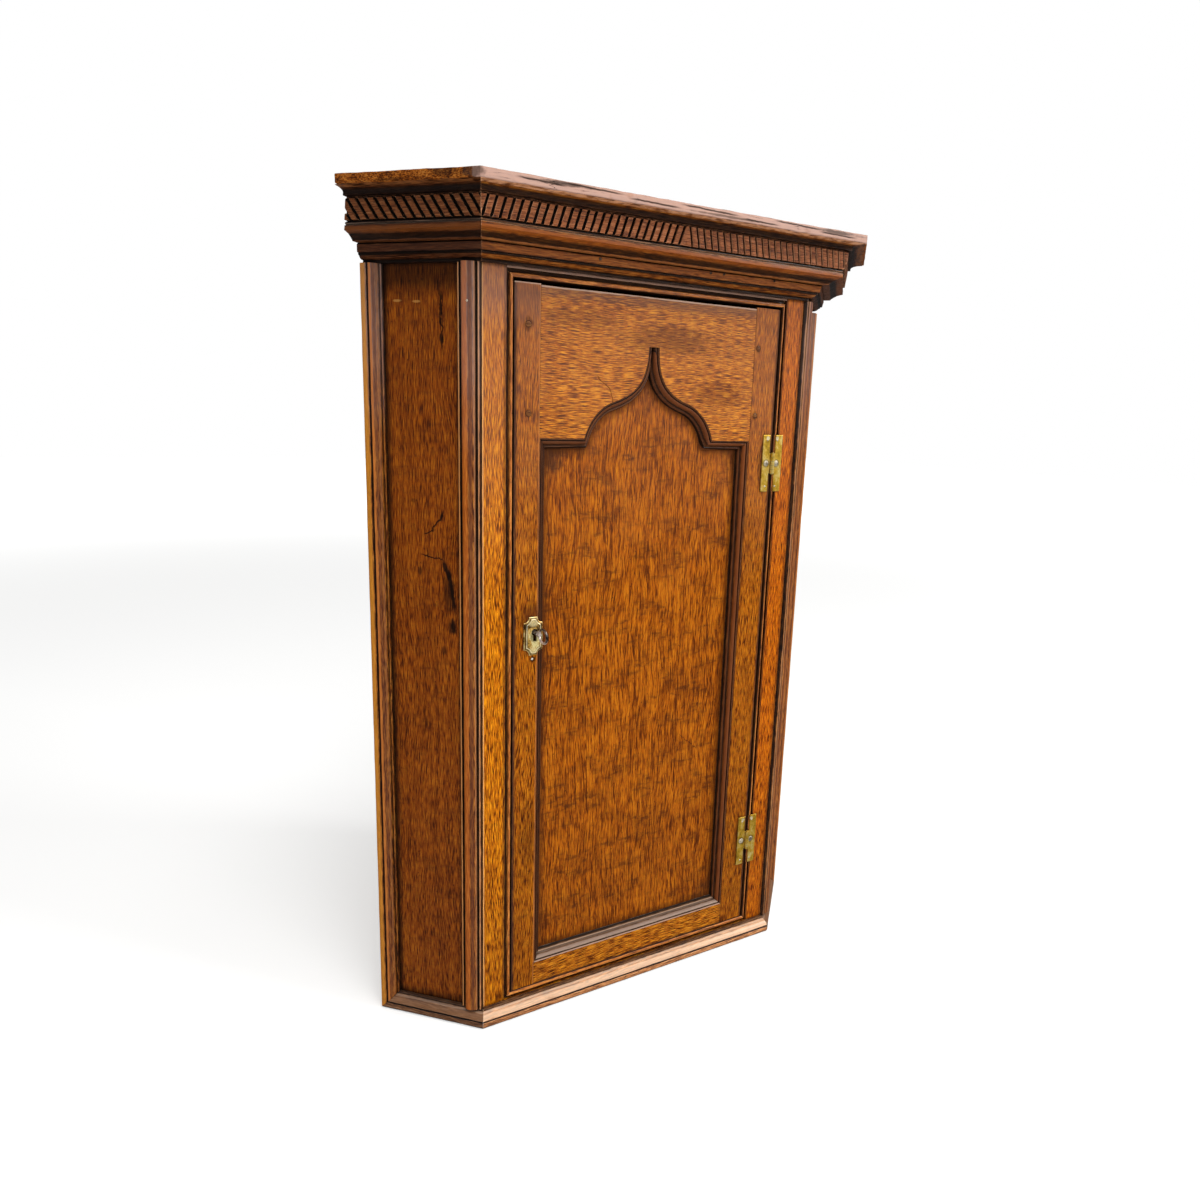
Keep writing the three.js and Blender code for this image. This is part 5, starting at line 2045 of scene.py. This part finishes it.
@dataclass
class Door:
    """Framed door with its ogee-arched rail, flat panel, panel moulding and draw-bore pegs."""

    left: float = -191.3
    right: float = 190.3
    foot: float = 33.0
    head: float = 918.0
    lock_inner: float = -158.7
    hinge_inner: float = 150.6
    bottom_rail_top: float = 63.8
    panel_cell: float = 5.0
    panel_back: float = 18.2
    frame_back: float = 21.7
    outline_step: float = 0.8
    arch: ArchLine = field(default_factory=ArchLine)

    def build(self) -> None:
        """Builds the door."""
        # Painted shade in the gaps round the door, together with soiling along its edges.
        gap_shade_and_dirt = tone(38, 28, 26)
        pale = tone(206, 180, 160)
        rubbed = tone(200, 130, 70)
        self._member("door_lock_stile", LOCK_STILE_OAK, False, 61.0, (
            Band(Axis.ALONG, self.left - 8.7, self.left + 3.3, 3.0, gap_shade_and_dirt, 0.9, 2.5),
            Band(Axis.ALONG, self.lock_inner - 1.3, self.lock_inner + 0.7, 0.4, rubbed, 0.35, 0.5),
            # Painted sheen: greyer towards the top of the stile.
            Band(Axis.HEIGHT, self.head - 38.0, self.head + 7.0, 22.0, tone(108, 80, 70), 0.45, 10.0),
            # Worn top arris, lightened also as a painted highlight.
            Band(Axis.HEIGHT, self.head - 1.8, self.head + 0.5, 0.4, pale, 0.5, 1.0),
        ), (
            # Painted shade round the escutcheon.
            Smudge((-164.6, 522.0), (20.0, 40.0), 0.5),
            Smudge((-165.0, 537.0), (17.0, 13.0), 0.45, tone(84, 36, 14)),
            Smudge((-165.3, 482.8), (5.0, 5.0), 0.8),
            Smudge((-174.0, 873.0), (7.0, 9.0), 0.5),
            Smudge((-173.1, 775.2), (6.0, 7.0), 0.4),
            Smudge((-170.0, 250.0), (14.0, 60.0), 0.25),
        ))
        self._member("door_hinge_stile", HINGE_STILE_OAK, False, 62.0, (
            Band(Axis.ALONG, self.right - 2.7, self.right + 9.7, 2.0, gap_shade_and_dirt, 0.8, 2.0),
            Band(Axis.ALONG, self.hinge_inner - 1.0, self.hinge_inner + 1.0, 0.4, tone(52, 30, 16), 0.5, 0.5),
        ), (
            # Painted shade round the hinges.
            Smudge((180.0, 718.3), (15.0, 46.0), 0.5),
            Smudge((180.0, 160.5), (15.0, 46.0), 0.5),
            Smudge((157.1, 866.8), (6.0, 7.0), 0.4),
            Smudge((158.1, 780.6), (6.0, 7.0), 0.4),
        ))
        self._member("door_arched_rail", RAIL_OAK, True, 63.0, (
            # Painted sheen: greyer towards the top of the rail.
            Band(Axis.HEIGHT, self.head - 13.0, self.head + 7.0, 7.0, tone(96, 72, 62), 0.55, 7.0),
            # Worn top arris, lightened also as a painted highlight.
            Band(Axis.HEIGHT, self.head - 3.8, self.head - 1.0, 0.4, pale, 0.5, 1.4),
        ), (
            Crack((-86.0, 823.0), (-62.0, 802.0), 0.9, 6.0, tone(96, 50, 22)),
            Crack((-66.0, 808.0), (-57.0, 778.0), 0.9, 6.0, tone(96, 50, 22)),
            Smudge((20.0, 868.0), (80.0, 20.0), 0.45, tone(76, 44, 30), 2.4),
            Smudge((96.0, 806.0), (46.0, 20.0), 0.35, tone(84, 42, 20), 2.4),
            Smudge((-110.0, 884.0), (60.0, 14.0), 0.35, tone(84, 50, 36), 2.4),
        ))
        self._member("door_bottom_rail", RAIL_OAK, True, 64.0, (
            Band(Axis.HEIGHT, self.foot - 8.0, self.foot + 2.0, 1.2, gap_shade_and_dirt, 0.6, 1.2),
        ), ())
        self._panel()
        self._mouldings()
        pegs = OakFinish(
            "peg_oak", PEG_OAK, Plane.FRONT, True, 71.0, mottle=0.2, veil=0.2, gloss=0.1, wear=0.15
        )
        peg_oak = pegs.material()
        wear = Wear((), rounding=0.25, uneven=0.4, wobble=0.08, wave=3.0, seed=71.0)
        for name in ("peg_lock_upper", "peg_lock_lower", "peg_hinge_upper", "peg_hinge_lower"):
            BENCH.copied(name, wear, peg_oak, "oak_door")

    def _member(
        self,
        node: str,
        oak: OakTone,
        level: bool,
        seed: float,
        bands: tuple[Band, ...],
        marks: tuple[Mark, ...],
    ) -> None:
        """A stile or rail.

        Args:
            node: Its node.
            oak: Its colours.
            level: Whether the grain is level.
            seed: Its stretch of the patterns.
            bands: Strips of another colour.
            marks: Cracks and spots.
        """
        finish = OakFinish(
            f"{node}_oak", oak, Plane.FRONT, level, seed, veil=0.45, dim=0.18, marks=marks,
            bands=bands + (Band(Axis.DEPTH, self.frame_back, 30.0, 0.2, DRY_OAK, 0.4, 0.0),),
        )
        wear = Wear(
            (Slices(RIGHTWARD if level else UP, 9.0),), rounding=1.0, uneven=0.9,
            wobble=0.25, wave=24.0, seed=seed, flat=BACKWARD,
        )
        BENCH.copied(node, wear, finish.material(), "oak_door")

    def _panel(self) -> None:
        """The panel, with each point's distance to its moulding for the painted shade beside it."""
        finish = OakFinish(
            "panel_oak", PANEL_OAK, Plane.FRONT, False, 66.0, mottle=0.85, dim=0.14, edged=True, halo=0.75,
            grime=0.7, crisp=2.8, bands=(Band(Axis.DEPTH, self.panel_back, 30.0, 0.2, DRY_OAK, 0.4, 0.0),),
            marks=(
                Smudge((-150.0, 742.0), (40.0, 46.0), 0.7, tone(40, 30, 26)),
                Smudge((140.0, 742.0), (34.0, 40.0), 0.5, tone(40, 26, 18)),
                Smudge((-5.0, 840.0), (24.0, 60.0), 0.45, tone(52, 36, 28)),
                Smudge((144.0, 76.0), (44.0, 40.0), 0.5, tone(40, 28, 18)),
                Smudge((-152.0, 520.0), (18.0, 90.0), 0.4, tone(48, 24, 10)),
                Crack((66.0, 346.0), (104.0, 312.0), 0.7, 6.0, tone(70, 34, 8)),
            ),
        )
        slices = (Slices(UP, self.panel_cell), Slices(RIGHTWARD, self.panel_cell))
        wear = Wear(slices, rounding=0.5, uneven=0.5, wobble=0.12, wave=60.0, seed=66.0, flat=BACKWARD)
        made = BENCH.copied("door_panel", wear, finish.material(), "oak_door")
        BENCH.measured(made, self._outline())

    def _outline(self) -> list[Vector]:
        """Points close together along the frame's inner edge round the panel.

        Returns:
            The points, across and up in millimetres.
        """
        corners = [(self.lock_inner, self.arch.shoulder)] + self.arch.points(-1)
        corners += self.arch.points(1)[::-1] + [(self.hinge_inner, self.arch.shoulder)]
        corners += [(self.hinge_inner, self.bottom_rail_top), (self.lock_inner, self.bottom_rail_top)]
        points = []
        for first, second in zip(corners, corners[1:] + corners[:1]):
            start, end = Vector(first), Vector(second)
            count = max(1, int((end - start).length / self.outline_step))
            points += [start.lerp(end, n / count) for n in range(count)]
        return points

    def _mouldings(self) -> None:
        """The moulding round the panel."""
        edge = self._outline()
        for number, word in enumerate(("left", "right", "bottom", "arch_left", "arch_right")):
            level = word not in ("left", "right")
            tone_here = SILL_OAK if word == "bottom" else PANEL_BEAD_OAK
            finish = OakFinish(
                f"panel_moulding_{word}_oak", tone_here, Plane.FRONT, level, 74.0 + number, mottle=0.1,
                figure=0.3, veil=0.2, gloss=0.3 if word == "bottom" else 0.12, shine=0.2, grime=0.8, wear=0.4,
                edged=True, bands=self._profile_bands(word), crisp=1.6,
            )
            slices = (Slices(RIGHTWARD if level else UP, 9.0),) if "arch" not in word else ()
            wear = Wear(slices, rounding=0.5, uneven=0.8, wobble=0.16, wave=26.0, seed=74.0 + number)
            made = BENCH.copied(f"panel_moulding_{word}", wear, finish.material(), "oak_door")
            BENCH.measured(made, edge)

    @staticmethod
    def _profile_bands(word: str) -> tuple[Band, ...]:
        """Painted light and shade across the panel moulding, from the frame to the panel: lit on the bottom
        length, darker on the sides and the arch, with painted shade in the quirks.

        Args:
            word: Which length.

        Returns:
            The bands.
        """
        dark = tone(12, 7, 4)
        colours = {
            "bottom": (tone(190, 150, 126), tone(156, 132, 116), tone(100, 78, 62), tone(170, 138, 112)),
            "right": (tone(84, 44, 18), tone(128, 66, 22), tone(30, 16, 8), tone(104, 58, 26)),
            "arch_right": (tone(60, 32, 16), tone(112, 58, 22), tone(18, 10, 6), tone(76, 44, 24)),
            "arch_left": (tone(60, 32, 16), tone(96, 52, 24), tone(30, 18, 12), tone(84, 58, 42)),
            "left": (tone(120, 62, 22), tone(48, 24, 8), tone(14, 8, 4), tone(40, 20, 8)),
        }[word]
        spans = ((-1.0, 1.7), (3.3, 6.6), (7.0, 8.3), (8.7, 10.3))
        bands = [Band(Axis.EDGE, low, high, 0.3, tint, 0.7, 0.2) for (low, high), tint in zip(spans, colours)]
        quirks = ((1.9, 3.1), (10.8, 13.0))
        bands += [Band(Axis.EDGE, low, high, 0.3, dark, 0.95, 0.2) for low, high in quirks]
        return tuple(bands)


@dataclass
class Hinges:
    """Two brass H hinges with their screws and nails."""

    heights: tuple[tuple[str, float], ...] = (("upper", 718.3), ("lower", 160.5))
    door_screw_x: float = 181.0
    frame_screw_x: float = 198.5
    leaf_thick: float = 2.0
    nail_radius: float = 1.3
    nail_rise: float = 31.0

    def build(self, heads: HeadTree) -> None:
        """Builds the leaves, pins, screws and nails.

        Args:
            heads: The tree that makes heads.
        """
        brass = BRASS.material()
        for word, _ in self.heights:
            for part in ("door_leaf", "frame_leaf", "pin"):
                wear = Wear((Slices(UP, 6.0),), rounding=0.7, uneven=0.6, wobble=0.08, wave=12.0, seed=81.0)
                BENCH.copied(f"{word}_hinge_{part}", wear, brass, "brass")
            for part in ("door_screw", "frame_screw"):
                wear = Wear((), rounding=0.4, uneven=0.3, wobble=0.04, wave=4.0, seed=83.0)
                BENCH.copied(f"{word}_hinge_{part}", wear, SCREW_STEEL.material(), "brass")
        for body, x in (("door", self.door_screw_x), ("case", self.frame_screw_x)):
            nails = [
                Head(spot(x, -self.leaf_thick, height + rise), FORWARD, self.nail_radius)
                for _, height in self.heights
                for rise in (-self.nail_rise, self.nail_rise)
            ]
            Fasteners(f"hinge_nails_{body}", body, "brass", PALE_NAIL, nails, dome=0.5, seed=6).build(heads)


@dataclass
class Lock:
    """Escutcheon with its pins, key, lock case and bolt."""

    pin_x: float = -161.6
    pin_heights: Pair = (524.4, 498.4)
    pin_depth: float = -1.6
    nail_place: Pair = (-165.3, 482.8)
    middle: Pair = (-164.6, 511.7)
    keyhole: Pair = (6.5, 15.0)
    pin_radius: float = 1.1
    nail_radius: float = 1.5
    cell: float = 0.8
    outline_step: float = 0.3
    flush: float = 0.05

    def _outline(self, mesh: bpy.types.Mesh) -> list[Vector]:
        """Points close together along the outer edge of the plate.

        Args:
            mesh: The CAD plate.

        Returns:
            The points, across and up in millimetres.
        """
        places = [v.co / MM for v in mesh.vertices]
        back = max(place.y for place in places)
        sides: dict[frozenset[Pair], int] = {}
        for face in mesh.polygons:
            ring = [places[number] for number in face.vertices]
            if any(back - place.y > self.flush for place in ring):
                continue
            ends = [(round(place.x, 2), round(place.z, 2)) for place in ring]
            for side in map(frozenset, zip(ends, ends[1:] + ends[:1])):
                sides[side] = sides.get(side, 0) + 1
        points = []
        for side in (side for side, count in sides.items() if count == 1 and len(side) == 2):
            start, end = (Vector(place) for place in sorted(side))
            away = start - Vector(self.middle)
            if abs(away.x) < self.keyhole[0] and abs(away.y) < self.keyhole[1]:
                continue
            steps = max(1, int((end - start).length / self.outline_step))
            points += [start.lerp(end, number / steps) for number in range(steps + 1)]
        return points

    def build(self, heads: HeadTree) -> None:
        """Builds the lock furniture.

        Args:
            heads: The tree that makes heads.
        """
        slices = (Slices(UP, self.cell), Slices(RIGHTWARD, self.cell))
        wear = Wear(slices, rounding=0.35, uneven=0.5, wobble=0.05, wave=6.0, seed=91.0)
        edge = self._outline(frame["nodes"]["escutcheon"].data)
        made = BENCH.copied("escutcheon", wear, PLATE_BRASS.material(), "brass")
        BENCH.measured(made, edge)
        for node, metal in (("key", STEEL), ("lock_case", LOCK_IRON), ("lock_bolt", LOCK_IRON)):
            wear = Wear((), rounding=0.3, uneven=0.3, wobble=0.05, wave=8.0, seed=92.0)
            BENCH.copied(node, wear, metal.material(), "steel")
        pins = [Head(spot(self.pin_x, self.pin_depth, z), FORWARD, self.pin_radius) for z in self.pin_heights]
        Fasteners("escutcheon_pins", "door", "brass", BRASS, pins, dome=0.5, seed=8).build(heads)
        nail = [Head(spot(self.nail_place[0], 0.0, self.nail_place[1]), FORWARD, self.nail_radius)]
        Fasteners("stile_nail", "door", "steel", PALE_NAIL, nail, dome=0.4, seed=9).build(heads)


@dataclass(frozen=True)
class Lamp:
    """A soft square lamp. Lengths in metres, power in watts."""

    name: str
    place: Size
    size: float
    power: float
    aim: Size = (0.0, -0.1, 0.5)

    def build(self) -> None:
        """Builds the lamp."""
        data = bpy.data.lights.new(self.name, "AREA")
        data.shape = "SQUARE"
        data.size = self.size
        data.energy = self.power
        lamp = bpy.data.objects.new(self.name, data)
        bpy.context.scene.collection.objects.link(lamp)
        lamp.location = self.place
        lamp.rotation_euler = (Vector(self.aim) - Vector(self.place)).to_track_quat("-Z", "Y").to_euler()


LAMPS = (
    Lamp("key_light", (5.0, -4.4, 3.6), 2.6, 275.0),
    Lamp("top_light", (-0.3, -1.6, 3.6), 1.6, 70.0),
    Lamp("front_fill", (-1.0, -5.6, 3.8), 2.4, 58.0, (0.0, 0.0, 0.5)),
)


@dataclass
class Studio:
    """Floor, soft lights, surrounding light and the camera at the photograph's place. Lengths in metres."""

    floor_half: float = 14.0
    lens: float = 25.526
    sensor: float = 36.0
    eye: Size = (-0.59341, -1.08441, 0.77029)
    right: Size = (0.869485, -0.493242, 0.026606)
    down: Size = (-0.079614, -0.193094, -0.977945)
    forward: Size = (0.487501, 0.848190, -0.207162)
    ambient_low: float = 0.08
    ambient_high: float = 0.55
    backdrop: float = 1.0
    clip: Pair = (0.01, 100.0)

    def build(self) -> None:
        """Builds the studio."""
        self._floor()
        self._world()
        for lamp in LAMPS:
            lamp.build()
        self._camera()

    def _floor(self) -> None:
        """A wide plain floor."""
        half = self.floor_half
        mesh = bpy.data.meshes.new("floor")
        corners = [(-half, -half, 0.0), (half, -half, 0.0), (half, half, 0.0), (-half, half, 0.0)]
        mesh.from_pydata(corners, [], [(0, 1, 2, 3)])
        made = BENCH.linked("floor", mesh)
        BENCH.coated(made, FloorFinish().material())
        made.visible_glossy = False

    def _world(self) -> None:
        """Surrounding light from above, with a white backdrop where the camera looks past the floor."""
        world = bpy.data.worlds.new("studio")
        bpy.context.scene.world = world
        world.use_nodes = True
        world.node_tree.nodes.clear()
        graph = Graph(world.node_tree)
        seen = graph.term("ShaderNodeLightPath", {}, {}, "Is Camera Ray")
        direction = graph.term("ShaderNodeTexCoord", {}, {}, "Generated")
        height = graph.split(direction)[2].rise(0.0, 0.8)
        ambient = self.ambient_low + height * (self.ambient_high - self.ambient_low)
        strength = ambient + seen * (self.backdrop - ambient)
        light = graph.term("ShaderNodeBackground", {}, {"Color": (1.0, 1.0, 1.0, 1.0), "Strength": strength})
        graph.node("ShaderNodeOutputWorld", {}, {"Surface": light})

    def _camera(self) -> None:
        """The camera at the photograph's place, lens and turn."""
        data = bpy.data.cameras.new("camera")
        data.lens = self.lens
        data.sensor_width = self.sensor
        data.clip_start, data.clip_end = self.clip
        camera = bpy.data.objects.new("camera", data)
        bpy.context.scene.collection.objects.link(camera)
        rows = [[self.right[n], -self.down[n], -self.forward[n], self.eye[n]] for n in range(3)]
        camera.matrix_world = Matrix(rows + [[0.0, 0.0, 0.0, 1.0]])
        bpy.context.scene.camera = camera
        bpy.context.scene.view_settings.view_transform = "Standard"


def main() -> None:
    """Builds every sub-assembly in order."""
    logging.basicConfig(level=logging.INFO, format="%(message)s")
    # Without a seed the noise starts from the clock, and each run gives other waves.
    noise.seed_set(NOISE_SEED)
    heads = HeadTree()
    Carcase().build(heads)
    FaceFrame().build()
    Base().build(heads)
    Cornice().build(FriezeTree(), heads)
    Door().build()
    Hinges().build(heads)
    Lock().build(heads)
    Studio().build()


if __name__ == "__main__":
    main()
